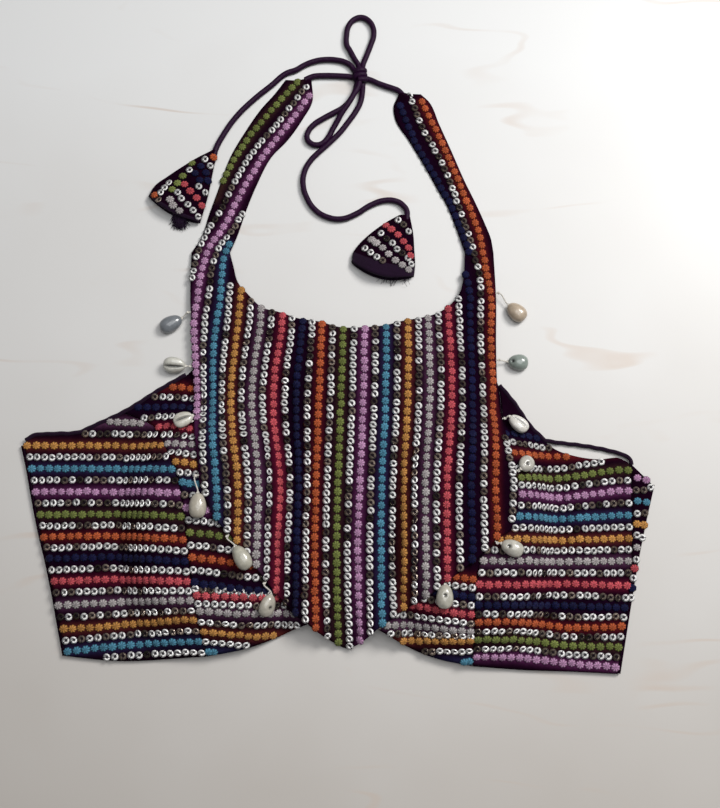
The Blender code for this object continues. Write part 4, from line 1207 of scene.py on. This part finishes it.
def stitches_along(paths, above, keep, random):
    """Places, frames and row numbers of all stitches of a kind along the rows of a panel.

    A row's places are a pitch apart over the cloth, and moved a little as handwork is."""
    trim = bpy.context.scene.choli_trim
    found = {"dot": [], "sequin": []}
    for number, path in paths:
        kind = "dot" if number % 2 == 0 else "sequin"
        pitch = (trim.dot_pitch if kind == "dot" else trim.sequin_pitch) / MM
        line = on_cloth(path, above)
        travelled = distances(line)
        stations = even_stations(travelled, keep(path), pitch)
        stations = stations + random.normal(0.0, DRIFT_ALONG, len(stations))
        plan = at_stations(stations, travelled, path)
        run = at_stations(stations, travelled, unit(np.gradient(path, axis=0)))
        across = np.column_stack([-run[:, 1], run[:, 0]])
        plan = plan + across * random.normal(0.0, DRIFT_ACROSS, (len(stations), 1))
        found[kind].append((plan, run, np.full(len(plan), number)))
    result = {}
    for kind, lists in found.items():
        plan, run, numbers = (np.concatenate(column) for column in zip(*lists))
        up = cloth_normals(plan)
        along = square_to(up, np.column_stack([run, np.zeros(len(run))]))
        result[kind] = (on_cloth(plan, above), along, up, numbers)
    return result


def measured_stitches(stitches, seats_at):
    """The same for single measured stitches, given as row number, x and y."""
    result = {}
    for kind, odd in (("dot", 0), ("sequin", 1)):
        chosen = [row for row in stitches if row[0] % 2 == odd]
        seats, up = seats_at(np.array([row[1:] for row in chosen], float))
        along = square_to(up, np.tile((1.0, 0.0, 0.0), (len(chosen), 1)))
        result[kind] = (seats, along, up, [row[0] for row in chosen])
    return result


def spun(along, up, random):
    """Directions turned about up by a random angle."""
    spin = random.uniform(0.0, 2 * math.pi, len(up))[:, None]
    return np.cos(spin) * along + np.sin(spin) * np.cross(up, along)


def tilted(along, up, random, angle):
    """Frames turned by a random spin about up and leaned by a random angle."""
    first = spun(along, up, random)
    lean = np.abs(random.normal(0.0, angle, len(up))).clip(0.0, 2 * angle)[:, None]
    second = np.cross(up, first)
    leaned = np.cos(lean) * first + np.sin(lean) * up
    return leaned, second, np.cross(leaned, second)


def add_dots(name, places, along, up, numbers, random):
    """All thread dots of a panel as one mesh, with their colour painted on."""
    trim = bpy.context.scene.choli_trim
    width = trim.dot_width / MM
    shape = dot_shape(width, trim.dot_height / MM)
    each = (len(places), 1)
    first = spun(along, up, random)
    second = np.cross(up, first)
    size = random.normal(*DOT_SIZE, each).clip(*DOT_SIZE_LIMITS)
    first = first + along * (DOT_STRETCH - 1) * (first * along).sum(-1, keepdims=True)
    second = second + along * (DOT_STRETCH - 1) * (second * along).sum(-1, keepdims=True)
    joined = copies(shape, places, first * size, second * size,
                    up * random.normal(*DOT_RISE, each))
    colours = np.array([row_colour(int(number)) for number in numbers])
    colours = colours * random.normal(*DOT_BRIGHTNESS, each)
    paint = np.repeat(colours.clip(0.0, 1.0), len(shape[0]), axis=0)
    uv = np.tile(shape[0][:, :2] / width + 0.5, each)
    return put_mesh(name, *joined, uv=uv, paint=paint)


def add_sequins(name, places, along, up, random):
    """All sequins of a panel as one mesh, each painted with its reflection, a glint or a dim one,
    and their threads.
    """
    trim = bpy.context.scene.choli_trim
    width = trim.sequin_width / MM
    count = len(places)
    first, second, normal = tilted(along, up, random, trim.sequin_tilt)
    seats = places + up * SEQUIN_SEAT
    shape = sequin_shape(width)
    # Painted reflection: near white for a glint, dark brown for dim surroundings
    painted_glint = random.random(count) < PAINTED_GLINT_SHARE
    dim_reflection_paint, glint_paint = (random.uniform(*values, count)[:, None] * cast
                   for values, cast in (PAINTED_DIM_SEQUINS, PAINTED_GLINT_SEQUINS))
    paint = np.repeat(np.where(painted_glint[:, None], glint_paint, dim_reflection_paint), len(shape[0]), axis=0)
    made = put_mesh(name, *copies(shape, seats, first, second, normal), paint=paint, flat=True)
    turn = random.normal(*BAR_TURN, count)[:, None]
    aside = np.cross(normal, square_to(normal, along))
    forward = np.cross(aside, normal)
    run = np.cos(turn) * forward + np.sin(turn) * aside
    bar = bar_shape(width * BAR_LENGTH_SHARE, BAR_WIDTH, BAR_HEIGHT)
    threads = put_mesh(f"{name}_thread", *copies(bar, seats, run, np.cross(normal, run), normal))
    return made, threads


def add_stitches(dots_name, sequins_name, found, random):
    """A cloth's dots, sequins and sequin threads, each kind as one piece."""
    dots = add_dots(dots_name, *found["dot"], random)
    dress(dots, [Workbox.finish("stitch", stitch_thread)])
    sequins, threads = add_sequins(sequins_name, *found["sequin"][:3], random)
    dress(sequins, [Workbox.finish("silver", sequin_silver)])
    dress(threads, [lining()])
    return [dots, sequins, threads]


def stitch_panel(name, paths, above, keep, seed):
    """The stitches of a panel's rows."""
    random = np.random.default_rng(seed)
    found = stitches_along(paths, above, keep, random)
    return add_stitches(f"{name}_dots", f"{name}_sequins", found, random)


def cloth_piece(name, points, quads, tint, wall, nodes):
    """A sheet of the front: its surface, its rim turned down, and its wall behind it."""
    settings = bpy.context.scene.choli_cloth
    points = points.copy()
    points[rim_of(quads), 2] -= settings.turned_edge / MM
    made = put_mesh(name, points, quads, paint=tint)
    dress(made, [ground(), lining()], nodes)
    return thicken(made, wall)


def sleeve_rise(plan):
    """How far a strap's tip rises over the end of the cord that is sewn into it: a bell across
    the cord that dies away behind its end."""
    rise = np.zeros(len(plan))
    for route in (NECK_CORD_LEFT, NECK_CORD_RIGHT):
        end, mouth = np.array(route[0]), np.array(route[2])
        along = unit(mouth - end)
        gap = plan - end
        ahead = gap @ along
        beside = np.abs(gap @ np.array([-along[1], along[0]]))
        rise = np.maximum(rise, SLEEVE_RISE * np.exp(-((beside / 2.7) ** 2))
                          * ease((ahead + 7.0) / 8.0))
    return rise


def rim_of(quads):
    """Numbers of the points on edges that belong to one quad only."""
    edges = np.concatenate([quads[:, [0, 1]], quads[:, [1, 2]], quads[:, [2, 3]],
                            quads[:, [3, 0]]])
    edges = np.sort(edges, axis=1)
    pairs, counts = np.unique(edges, axis=0, return_counts=True)
    return np.unique(pairs[counts == 1])


class CHOLI_OT_overlay(bpy.types.Operator):
    """Makes the front overlay, cut in one with its two neck straps."""

    bl_idname = "choli.overlay"
    bl_label = "Overlay and straps"

    def execute(self, context):
        step = context.scene.choli_cloth.grid_step / MM
        front, left, right = overlay_grids(step)
        rows, columns = front.shape[:2]
        plans = [front.reshape(-1, 2)]
        quads = [grid_quads(rows, columns)]
        first = rows * columns
        for strap, start in ((left, 0), (right, columns - right.shape[1])):
            strap_rows, width = strap.shape[:2]
            index = np.arange(first, first + (strap_rows - 1) * width).reshape(-1, width)
            joined = np.arange((rows - 1) * columns + start, (rows - 1) * columns + start + width)
            quads.append(quads_between(np.concatenate([joined[None], index])))
            plans.append(strap[1:].reshape(-1, 2))
            first += (strap_rows - 1) * width
        plan = np.concatenate(plans)
        quads = np.concatenate(quads)
        paths = overlay_row_paths()
        tint = ground_tint(plan, paths)
        surface = on_cloth(plan, OVERLAY_TOP)
        surface[:, 2] += sleeve_rise(plan)
        overlay = cloth_piece("overlay_cloth", surface, quads, tint, OVERLAY_CLOTH,
                              ["front_panel", "strap_left", "strap_right"])
        outline = overlay_outline()
        trims = stitch_panel("overlay", paths, OVERLAY_TOP,
                             lambda points: inside_by(points, outline) > OVERLAY_MARGIN,
                             context.scene.choli_trim.seed)
        return {"FINISHED"}


class CHOLI_OT_panels(bpy.types.Operator):
    """Makes the two padded bust panels and the two side wings."""

    bl_idname = "choli.panels"
    bl_label = "Bust panels and wings"

    def execute(self, context):
        step = context.scene.choli_cloth.grid_step / MM
        cover = overlay_outline()
        titles = {"cup_left": "bust_panel_left", "cup_right": "bust_panel_right",
                  "wing_left": "side_wing_left", "wing_right": "side_wing_right"}
        sizes = {"wing_left": ((0.135, 0.170), 0.0172), "wing_right": ((0.110, 0.200), 0.0160)}
        for count, (node, title) in enumerate(titles.items()):
            plan = panel_grid(node, step)
            paths = panel_row_paths(node)
            points = on_cloth(plan, CLOTH).reshape(-1, 3)
            made = cloth_piece(title, points, grid_quads(*plan.shape[:2]),
                               ground_tint(plan, paths), CLOTH, [node])
            outline = outline_of(plan)

            def keep(points, outline=outline):
                shown = inside_by(points, cover) < HIDDEN_UNDER_OVERLAY
                return (inside_by(points, outline) > STITCH_MARGIN) & shown

            trims = stitch_panel(title, paths, CLOTH, keep,
                                 context.scene.choli_trim.seed + 1 + count)
            if node in sizes:
                side = node.split("_")[1]
        return {"FINISHED"}


def back_surface(folds, sign):
    """The outer surface of half the back band: flat below, a half turn of small radius round the
    side fold, then level to the side seam on top."""
    rows = BACK_ROWS
    table = smooth_path(folds, rows)
    fold, seam = table[:, :2], table[:, 2:]
    share = np.linspace(0.0, 1.0, rows)
    low, high = BACK_CENTRE
    centre = np.stack([np.full(rows, -sign * BACK_LAP), low + share * (high - low)], axis=-1)
    outward = unit(fold - centre)
    turn = fold - outward * (FOLD_MID_RADIUS + CLOTH / 2)
    seam = seam + (sign * SEAM_GAP / 2, 0.0)
    half = CLOTH / 2
    columns = []
    for part in np.linspace(0.0, 0.99, BACK_COLUMNS):
        place = centre + part * (turn - centre)
        lift = np.zeros(rows)
        if sign > 0:
            start, end = LAP_RAMP
            lift = BASE_LOW * ease((start - place[:, 0]) / (start - end))
        columns.append(np.column_stack([place, lift]))
    middle = half + FOLD_MID_RADIUS
    for angle in np.radians(np.linspace(-90, 90, FOLD_STEPS)):
        reach = (FOLD_MID_RADIUS + half) * math.cos(angle)
        height = middle + (FOLD_MID_RADIUS + half) * math.sin(angle)
        columns.append(np.column_stack([turn + outward * reach, np.full(rows, height)]))
    for part in (0.33, 0.67, 1.0):
        columns.append(np.column_stack([turn + part * (seam - turn), np.full(rows, BACK_TOP)]))
    return np.stack(columns, axis=1)


class CHOLI_OT_back(bpy.types.Operator):
    """Makes the two halves of the back band, folded under the front."""

    bl_idname = "choli.back"
    bl_label = "Back band"

    def execute(self, context):
        base = np.array(context.scene.choli_cloth.ground)
        trims = self.strip_stitches(context)
        for side, folds, sign in (("left", SIDE_LEFT, -1), ("right", SIDE_RIGHT, 1)):
            surface = back_surface(folds, sign)
            rows, columns = surface.shape[:2]
            quads = grid_quads(rows, columns)
            if sign > 0:
                quads = quads[:, ::-1]
            made = put_mesh(f"back_band_{side}", surface.reshape(-1, 3), quads,
                            paint=np.tile(base, (rows * columns, 1)))
            dress(made, [ground(), lining()], [f"back_{side}"])
            thicken(made, CLOTH)
        return {"FINISHED"}

    def strip_stitches(self, context):
        """The stitches on the strip of the back that turns up beside the right side seam."""
        random = np.random.default_rng(context.scene.choli_trim.seed + 20)
        found = measured_stitches(SIDE_STRIP, lambda plan: (
            np.column_stack([plan, np.full(len(plan), BACK_TOP)]),
            np.tile((0.0, 0.0, 1.0), (len(plan), 1))))
        return add_stitches("back_strip_dots", "back_strip_sequins", found, random)


def piping_path(edge, count):
    """A piping's path beside an edge: out by its radius and the seam's gap, on the slope."""
    plan = smooth_path(edge, count)
    run = unit(np.gradient(plan, axis=0))
    plan = plan + np.column_stack([-run[:, 1], run[:, 0]]) * (PIPING_RADIUS + PIPING_CLEAR)
    height = cloth_height(plan[:, 0], plan[:, 1]) + PIPING_RADIUS - 0.4
    return np.column_stack([plan, np.maximum(height, PIPING_RADIUS + 0.05)])


def wavy(path, amount, pitch):
    """A path moved sideways by a slow wave, as corded cloth lies."""
    travelled = distances(path)
    aside, _ = tube_frames(path)
    return path + aside * (amount * np.sin(travelled / pitch * 2 * math.pi))[:, None]


class CHOLI_OT_piping(bpy.types.Operator):
    """Makes the corded piping of both armholes."""

    bl_idname = "choli.piping"
    bl_label = "Armhole piping"

    def execute(self, context):
        colour = tuple(context.scene.choli_cloth.piping)
        finish = Workbox.finish("piping", plain_cotton, "piping_cotton", colour, 0.5, 0.06)
        left = piping_path(PIPING_LEFT, 120)
        bound = piping_path(PIPING_RIGHT, 50)
        loose = smooth_path(np.vstack([bound[-1], LOOSE_PIPING]), 70)
        right = np.vstack([bound, loose[1:]])
        for name, path, node in (("piping_left", left, "armhole_binding_left"),
                                 ("piping_right", right, "armhole_piping_right")):
            path = wavy(path, 0.15, 9.0)
            made = put_mesh(name, *tube(path, PIPING_RADIUS, 14))
            dress(made, [finish], [node])
        return {"FINISHED"}


def flat(route, height=CORD_HEIGHT):
    """A cord's route lying at a height, where it states none of its own."""
    return [(*place[:2], place[2] if len(place) > 2 else height) for place in route]


def cord_curve(name, points, width):
    """A cord as one open spline with smooth handles and a round bevel."""
    curve = bpy.data.curves.new(name, "CURVE")
    curve.dimensions = "3D"
    curve.bevel_depth = width / 2
    curve.bevel_resolution = 4
    curve.resolution_u = 8
    curve.use_fill_caps = True
    spline = curve.splines.new("BEZIER")
    spline.bezier_points.add(len(points) - 1)
    for point, place in zip(spline.bezier_points, points):
        point.co = [value * MM for value in place]
        point.handle_left_type = "AUTO"
        point.handle_right_type = "AUTO"
    made = bpy.data.objects.new(name, curve)
    bpy.context.scene.collection.objects.link(made)
    return made


def knot_path(count=90):
    """The cord's wrap round the bow: an ellipse in x and z that steps along y as it turns, and
    that grows to the right, where the neck cord leaves it."""
    x, y = KNOT_CENTRE
    share = np.linspace(0.0, 1.0, count)
    angle = 2 * math.pi * KNOT_TURNS * share + KNOT_START_ANGLE
    return np.column_stack([
        x + 0.5 + (KNOT_HALF_WIDTH + KNOT_WIDENING * share) * np.cos(angle),
        y + KNOT_TOP - KNOT_LENGTH * share + 0.5 * np.sin(angle),
        KNOT_MIDDLE + KNOT_HALF_HEIGHT * np.sin(angle),
    ])


def tassel_points(side, share, angle, inset=0.0):
    """Points of a tassel at shares of its length and angles round its section.

    A section is cos * half across and sin up, rounder above than below, with shallow folds that
    run down the tassel and deepen towards the mouth, whose middle bulges out."""
    first, second, bulge, _ = TASSELS[side]
    share, angle = np.broadcast_arrays(share, angle)
    stations = np.linspace(0.0, 1.0, 101)
    edges = []
    for edge in (first, second):
        edges.append(at_stations(share, stations, smooth_path(edge, len(stations))))
    middle = (edges[0] + edges[1]) / 2
    half = np.linalg.norm(edges[1] - edges[0], axis=-1) / 2
    across = (edges[1] - edges[0]) / (2 * half[..., None])
    out = unit(np.stack([across[..., 1], -across[..., 0]], axis=-1))
    turn = np.cos(angle)
    plan = middle + across * ((half - inset) * turn)[..., None]
    plan = plan + out * (bulge * share**3 * (1.0 - turn**2))[..., None]
    rise = np.sin(angle)
    level = SECTION_WAIST + np.where(rise > 0, 1.0 - SECTION_WAIST, SECTION_WAIST) * rise
    fold = 1.0 + np.cos(TASSEL_FOLDS * angle)
    fold = 1.0 - TASSEL_FOLD_DEPTH * share * fold * (rise > 0)
    start, end = TASSEL_HEIGHTS
    low = 0.05 + inset
    high = start + share * (end - start) - inset
    return np.concatenate([plan, (low + (high - low) * level * fold)[..., None]], axis=-1)


def tassel_surface(side):
    """A tassel: rings out to the mouth, then back inside it, closed at both ends."""
    sides = TASSEL_SIDES
    around = once_round(sides)
    outside = tassel_points(side, np.linspace(0.0, 1.0, TASSEL_RINGS)[:, None], around)
    inner = np.array(TASSEL_INNER_RINGS)[:, None]
    rings = np.concatenate([outside, tassel_points(side, inner, around, TASSEL_WALL)])
    count = len(rings)
    points = np.vstack([rings.reshape(-1, 3), rings[0].mean(axis=0), rings[-1].mean(axis=0)])
    return points, grid_quads(count, sides, closed=True), end_caps(count, sides)


def tassel_top(side, plan):
    """Seats of stitches on a tassel's upper side: its nearest points, and their normals."""
    angle = np.arccos(np.linspace(STITCH_REACH, -STITCH_REACH, 61))
    grid = tassel_points(side, np.linspace(0.04, 0.97, 90)[:, None], angle)
    along = np.gradient(grid, axis=0)
    across = np.gradient(grid, axis=1)
    normals = unit(np.cross(across, along))
    normals = normals * np.sign(normals[..., 2:])
    nearest = ((grid[..., :2].reshape(1, -1, 2) - plan[:, None]) ** 2).sum(-1).argmin(axis=1)
    return grid.reshape(-1, 3)[nearest], normals.reshape(-1, 3)[nearest]


def tuft_ends(side, random):
    """Frayed thread ends: thin tubes that leave the mouth, spread, sag and curl a little."""
    place, half_width, reach, head_x, head_y, count, thick = TUFTS[side]
    first, second = (np.array(edge[-1]) for edge in TASSELS[side][:2])
    half_mouth = np.linalg.norm(second - first) / 2
    heading = np.array([head_x, head_y])
    across = np.array([-head_y, head_x])
    share = np.linspace(0.0, 1.0, 7)[:, None]
    parts = []
    for _ in range(count):
        aside = random.uniform(-1.0, 1.0)
        turn = np.clip(2 * place - 1 + aside * half_width / half_mouth, -0.95, 0.95)
        start = tassel_points(side, random.uniform(0.9, 0.99), np.arccos(-turn))[:2]
        length = reach * random.uniform(0.45, 1.0) * (1.0 - 0.25 * aside**2) + 2.5
        lead = heading + across * (0.30 * aside + random.normal(0.0, 0.20))
        bend = across * random.normal(0.0, 1.6) + heading * random.normal(0.0, 0.5)
        plan = start + share * lead * length + share**2 * bend
        level = random.uniform(1.6, 5.6) * (1.0 - share**2) + random.uniform(0.2, 1.8) * share
        path = np.column_stack([plan, level])
        width = thick * random.uniform(0.7, 1.2) * (1.0 - 0.5 * share[:, 0])
        parts.append(tube(path, width, 4))
    return join(parts)


class CHOLI_OT_cords(bpy.types.Operator):
    """Makes the neck cord's two lengths, their knot, and a tassel with its tuft on each end."""

    bl_idname = "choli.cords"
    bl_label = "Cords, bow and tassels"

    def execute(self, context):
        trim = context.scene.choli_trim
        finish = Workbox.finish("cord", satin, "cord_satin", tuple(trim.cord_colour))
        x, y = KNOT_CENTRE
        under = (flat(NECK_CORD_LEFT) + [(x - 0.6, y + 2.4, 2.6)] + flat(BOW_LOOP_UP)
                 + [(x + 2.6, y, 3.4)] + flat(TAIL_RIGHT))
        over = (flat(NECK_CORD_RIGHT) + [(x + 0.4, y - 2.0, 3.2)] + flat(BOW_LOOP_SIDE)
                + [(x - 0.2, y, 4.9)] + flat(TAIL_LEFT))
        knot = put_mesh("bow_wrap", *tube(knot_path(), KNOT_CORD_RADIUS, 16))
        dress(knot, [finish], ["bow_knot"])
        pieces = {side: self.tassel(context, side) for side in TASSELS}
        for name, route, side, nodes, extra in (
            ("cord_to_right_tassel", under, "right",
             ["neck_cord_left", "bow_loop_up", "tail_right"], [knot]),
            ("cord_to_left_tassel", over, "left",
             ["neck_cord_right", "bow_loop_side", "tail_left"], []),
        ):
            made = cord_curve(name, route, trim.cord_width)
            dress(made, [finish], nodes)
            tuple(value * MM for value in route[0])
            extra + pieces[side]
        return {"FINISHED"}

    def tassel(self, context, side):
        """A tassel: cone, stitches and tuft."""
        trim = context.scene.choli_trim
        random = np.random.default_rng(trim.seed + 40 + len(side))
        points, quads, caps = tassel_surface(side)
        colours = np.tile(np.array(context.scene.choli_cloth.ground), (len(points), 1))
        cone = put_mesh(f"tassel_cone_{side}", points, quads, caps, paint=colours)
        dress(cone, [ground(), lining()], [f"tassel_{side}"])
        lined = round(TASSELS[side][3] * (TASSEL_RINGS - 1)) * TASSEL_SIDES
        kinds = np.zeros(len(cone.data.polygons), np.int32)
        kinds[lined:] = 1
        cone.data.polygons.foreach_set("material_index", kinds)
        stitches = [(number, *place) for number, places in TASSEL_ROWS[side] for place in places]
        found = measured_stitches(stitches, lambda plan: tassel_top(side, plan))
        made = [cone, *add_stitches(f"tassel_dots_{side}", f"tassel_sequins_{side}", found,
                                    random)]
        tuft = put_mesh(f"tassel_threads_{side}", *tuft_ends(side, random))
        finish = Workbox.finish("tuft", plain_cotton, "tuft_thread", tuple(trim.tuft_colour))
        made.append(dress(tuft, [finish], [f"tuft_{side}"]))
        return made


def cowrie_frame(name, centre, towards):
    """Where a shell's underside rests, and the axes of its length, width and height."""
    x, y = centre
    if name in FLOOR_COWRIES:
        up = np.array([0.0, 0.0, 1.0])
        seat = np.array([x, y, 0.05])
    else:
        along_x, along_y = (float(value) for value in slope_of(np.array(x), np.array(y)))
        up = np.array([-along_x, -along_y, 1.0])
        up /= np.linalg.norm(up)
        seat = np.array([x, y, float(cloth_height(x, y))]) + up * (CLOTH + 0.5)
    out = np.array([x - towards[0], y - towards[1], 0.0])
    out -= up * (out @ up)
    out /= np.linalg.norm(out)
    return seat, out, np.cross(up, out), up


def cowrie_surface(row, frame_axes):
    """A cowrie: an egg that is flatter on one side, where a slit runs along it between two rows
    of teeth. Wide = (1 - a^2)^0.4 * (1 + egg * a) for a from -1 to 1 along it; a section is a
    circle whose lower half is squashed, and the slit a narrow bell cut into it."""
    _, _, length, width, roll, _, colour, hole = row
    seat, out, aside, up = frame_axes
    rings, sides = COWRIE_RINGS, COWRIE_SIDES
    height = width * COWRIE_HEIGHT_SHARE
    turn = math.radians(roll)
    around = once_round(sides) - math.pi / 2
    from_slit = np.abs(np.angle(np.exp(1j * (around + math.pi / 2))))
    along = -np.cos(np.linspace(COWRIE_POLE, math.pi - COWRIE_POLE, rings))[:, None]
    wide = np.sqrt(1.0 - along**2) ** 0.8 * (1.0 + COWRIE_EGG * along)
    side = np.cos(around) * width / 2 * wide
    share = np.where(np.sin(around) > 0, COWRIE_DOME, 1.0 - COWRIE_DOME) * np.sin(around)
    slit = np.exp(-((from_slit / SLIT_HALF_WIDTH) ** 2)) * (1 - along**4)
    teeth = (np.exp(-(((from_slit - TEETH_PLACE) / TEETH_HALF_WIDTH) ** 2))
             * (0.5 + 0.5 * np.cos(along * TEETH_PITCH)))
    share = share + SLIT_DEPTH * slit + TEETH_DEPTH * teeth
    rise = share * height * wide
    turned_side = side * math.cos(turn) - rise * math.sin(turn)
    turned_rise = side * math.sin(turn) + rise * math.cos(turn)
    lowest = turned_rise.min()
    if hole is not None:
        near = np.hypot((along - hole) * length / 2, turned_side)
        pit = np.exp(-((near / HOLE_RADIUS) ** 2)) * (turned_rise > 0)
        turned_rise = turned_rise - HOLE_DEPTH * pit
    points = (seat + out * (along * length / 2)[..., None] + aside * turned_side[..., None]
              + up * (turned_rise - lowest)[..., None])
    tint = np.tile(screen(colour), (rings * sides, 1)).reshape(rings, sides, 3)
    back = (0.5 + 0.5 * np.sin(around))[None, :, None]
    tint = tint * (0.8 - 0.1 * back)
    # Painted shade: the slit is painted almost black for the shadow in the shell's hollow inside,
    # and the grooves between its teeth a little darker
    tint = tint * (1.0 - 0.95 * slit[..., None]) * (1.0 - 0.18 * (teeth > 0.6)[..., None])
    if hole is not None:
        # Painted shade: the pierced hole is painted almost black for the shadow inside it
        tint = tint * (1.0 - 0.95 * np.minimum(1.0, 1.4 * pit)[..., None])
    ends = [points[0].mean(axis=0), points[-1].mean(axis=0)]
    tint = np.concatenate([tint.reshape(-1, 3), [tint[0, 0], tint[-1, 0]]])
    return (np.vstack([points.reshape(-1, 3), ends]), grid_quads(rings, sides, closed=True),
            end_caps(rings, sides), tint, lowest)


def tie_point(outline, centre, towards):
    """Where a line from a shell meets the overlay's rim, and the rim's outward direction."""
    centre, towards = np.asarray(centre, float), np.asarray(towards, float)
    ray = towards - centre
    start = outline
    run = np.roll(outline, -1, axis=0) - outline
    cross = ray[0] * run[:, 1] - ray[1] * run[:, 0]
    cross = np.where(np.abs(cross) < 1e-9, np.inf, cross)
    gap = start - centre
    far = (gap[:, 0] * run[:, 1] - gap[:, 1] * run[:, 0]) / cross
    share = (gap[:, 0] * ray[1] - gap[:, 1] * ray[0]) / cross
    hits = np.where((share >= 0) & (share <= 1) & (far > 0), far, np.inf)
    best = hits.argmin()
    outward = np.array([-run[best, 1], run[best, 0]]) / np.linalg.norm(run[best])
    if outward @ ray > 0:
        outward = -outward
    return centre + hits[best] * ray, outward


def twisted(path, radius, pitch):
    """Two strands wound round a path: each is the path + radius / 2 * (cos aside + sin up)."""
    travelled = distances(path)
    aside, up = tube_frames(path)
    parts = []
    for phase in (0.0, math.pi):
        angle = (2 * math.pi * travelled / pitch + phase)[:, None]
        strand = path + radius / 2 * (np.cos(angle) * aside + np.sin(angle) * up)
        parts.append(tube(strand, radius * 0.62, 6))
    return parts


class CHOLI_OT_cowries(bpy.types.Operator):
    """Makes the twelve cowrie shells and the threads that tie them to the overlay."""

    bl_idname = "choli.cowries"
    bl_label = "Cowrie shells"

    def execute(self, context):
        outline = overlay_outline()
        trim = context.scene.choli_trim
        tie = Workbox.finish("tie", plain_cotton, "tie_thread", tuple(trim.thread_colour), 0.4)
        glaze = Workbox.finish("glaze", shell_glaze)
        random = np.random.default_rng(trim.seed + 60)
        for name, row in COWRIES.items():
            x, y, length, _, _, towards, _, _ = row
            axes = cowrie_frame(name, (x, y), towards)
            points, quads, caps, tint, lowest = cowrie_surface(row, axes)
            shell = put_mesh(f"shell_{name}", points, quads, caps, paint=tint)
            dress(shell, [glaze], [f"cowrie_{name}"])
            seat, out, _, up = axes
            tip = seat - out * (length / 2 - 0.6) - up * lowest
            edge, outward = tie_point(outline, (x, y), towards)
            lift = float(on_cloth(edge, OVERLAY_LOW + OVERLAY_CLOTH / 2)[2])
            start = np.array([*(edge + outward * (THREAD_START - 1.2)), lift])
            knot = np.array([*(edge + outward * (THREAD_START + 0.8)), lift])
            route = smooth_path(np.stack([start, knot, tip - out * 1.2, tip]), 40)
            parts = twisted(route, THREAD_RADIUS * 0.8, 2.2)
            for end, size in ((knot, 1.1), (tip - out * 0.6, 1.25)):
                parts.append(self.loop(end, size, random))
            thread = put_mesh(f"tie_{name}", *join(parts))
            dress(thread, [tie], [f"thread_{name}"])
        return {"FINISHED"}

    def loop(self, centre, size, random):
        """A small knot: a loop that winds one and a half times round a point."""
        angle = np.linspace(0.0, 3 * math.pi, 26) + random.uniform(0, 6)
        path = centre + np.column_stack([
            size * 0.6 * np.cos(angle), size * 0.6 * np.sin(angle),
            0.35 * np.sin(1.5 * angle) + 0.1,
        ])
        return tube(path, 0.34, 6)


class CHOLI_OT_stage(bpy.types.Operator):
    """Sets the pale floor, the soft lights and the camera at the photograph's angle."""

    bl_idname = "choli.stage"
    bl_label = "Floor, lights and camera"

    def execute(self, context):
        half = FLOOR_HALF / MM
        corners = np.array([(-half, -half, 0), (half, -half, 0), (half, half, 0),
                            (-half, half, 0)], float)
        floor = put_mesh("floor", corners - (0, 0, FLOOR_DROP), [(0, 1, 2, 3)])
        floor.data.materials.append(Workbox.finish("floor", studio_floor))
        for row in LIGHTS:
            self.light(*row)
        world = bpy.data.worlds.new("studio")
        world.use_nodes = True
        backdrop = world.node_tree.nodes["Background"]
        backdrop.inputs["Color"].default_value = BACKDROP_COLOUR
        backdrop.inputs["Strength"].default_value = BACKDROP_STRENGTH
        context.scene.world = world
        context.scene.view_settings.view_transform = "Standard"
        camera = bpy.data.cameras.new("camera")
        camera.lens = CAMERA_LENS
        camera.clip_start = 0.01
        holder = bpy.data.objects.new("camera", camera)
        elevation = math.radians(CAMERA_ELEVATION)
        x, y, z = CAMERA_TARGET
        holder.location = (x, y - CAMERA_DISTANCE * math.cos(elevation),
                           z + CAMERA_DISTANCE * math.sin(elevation))
        holder.rotation_euler = (math.pi / 2 - elevation, 0.0, 0.0)
        context.scene.collection.objects.link(holder)
        context.scene.camera = holder
        return {"FINISHED"}

    def light(self, name, place, size, power, colour):
        """A square area light that faces the middle of the blouse."""
        lamp = bpy.data.lights.new(name, "AREA")
        lamp.size = size
        lamp.energy = power
        lamp.color = colour
        holder = bpy.data.objects.new(name, lamp)
        holder.location = place
        x, y, z = place
        target_x, target_y, _ = CAMERA_TARGET
        level = math.hypot(x - target_x, y - target_y)
        holder.rotation_euler = (math.atan2(level, z), 0.0,
                                 math.atan2(y - target_y, x - target_x) + math.pi / 2)
        bpy.context.scene.collection.objects.link(holder)


class CHOLI_PT_panel(bpy.types.Panel):
    """Lists the blouse's sizes, colours and steps."""

    bl_label = "Choli Blouse"
    bl_idname = "CHOLI_PT_panel"
    bl_space_type = "VIEW_3D"
    bl_region_type = "UI"
    bl_category = "Choli"

    def draw(self, context):
        for settings in (context.scene.choli_cloth, context.scene.choli_trim):
            box = self.layout.box()
            for name in settings.__annotations__:
                box.prop(settings, name)
        for step in STEPS:
            self.layout.operator(step.bl_idname)


STEPS = (CHOLI_OT_back, CHOLI_OT_panels, CHOLI_OT_overlay, CHOLI_OT_piping, CHOLI_OT_cords,
         CHOLI_OT_cowries, CHOLI_OT_stage)
CLASSES = (ClothSettings, TrimSettings, *STEPS, CHOLI_PT_panel)


def register():
    """Registers the classes and hangs the settings on the scene."""
    for part in CLASSES:
        bpy.utils.register_class(part)
    bpy.types.Scene.choli_cloth = PointerProperty(type=ClothSettings)
    bpy.types.Scene.choli_trim = PointerProperty(type=TrimSettings)


def unregister():
    """Takes the settings and the classes away again."""
    del bpy.types.Scene.choli_trim
    del bpy.types.Scene.choli_cloth
    for part in reversed(CLASSES):
        bpy.utils.unregister_class(part)


def main():
    """Builds every piece in order."""
    register()
    bpy.ops.choli.back()
    bpy.ops.choli.panels()
    bpy.ops.choli.overlay()
    bpy.ops.choli.piping()
    bpy.ops.choli.cords()
    bpy.ops.choli.cowries()
    bpy.ops.choli.stage()


if __name__ == "__main__":
    main()
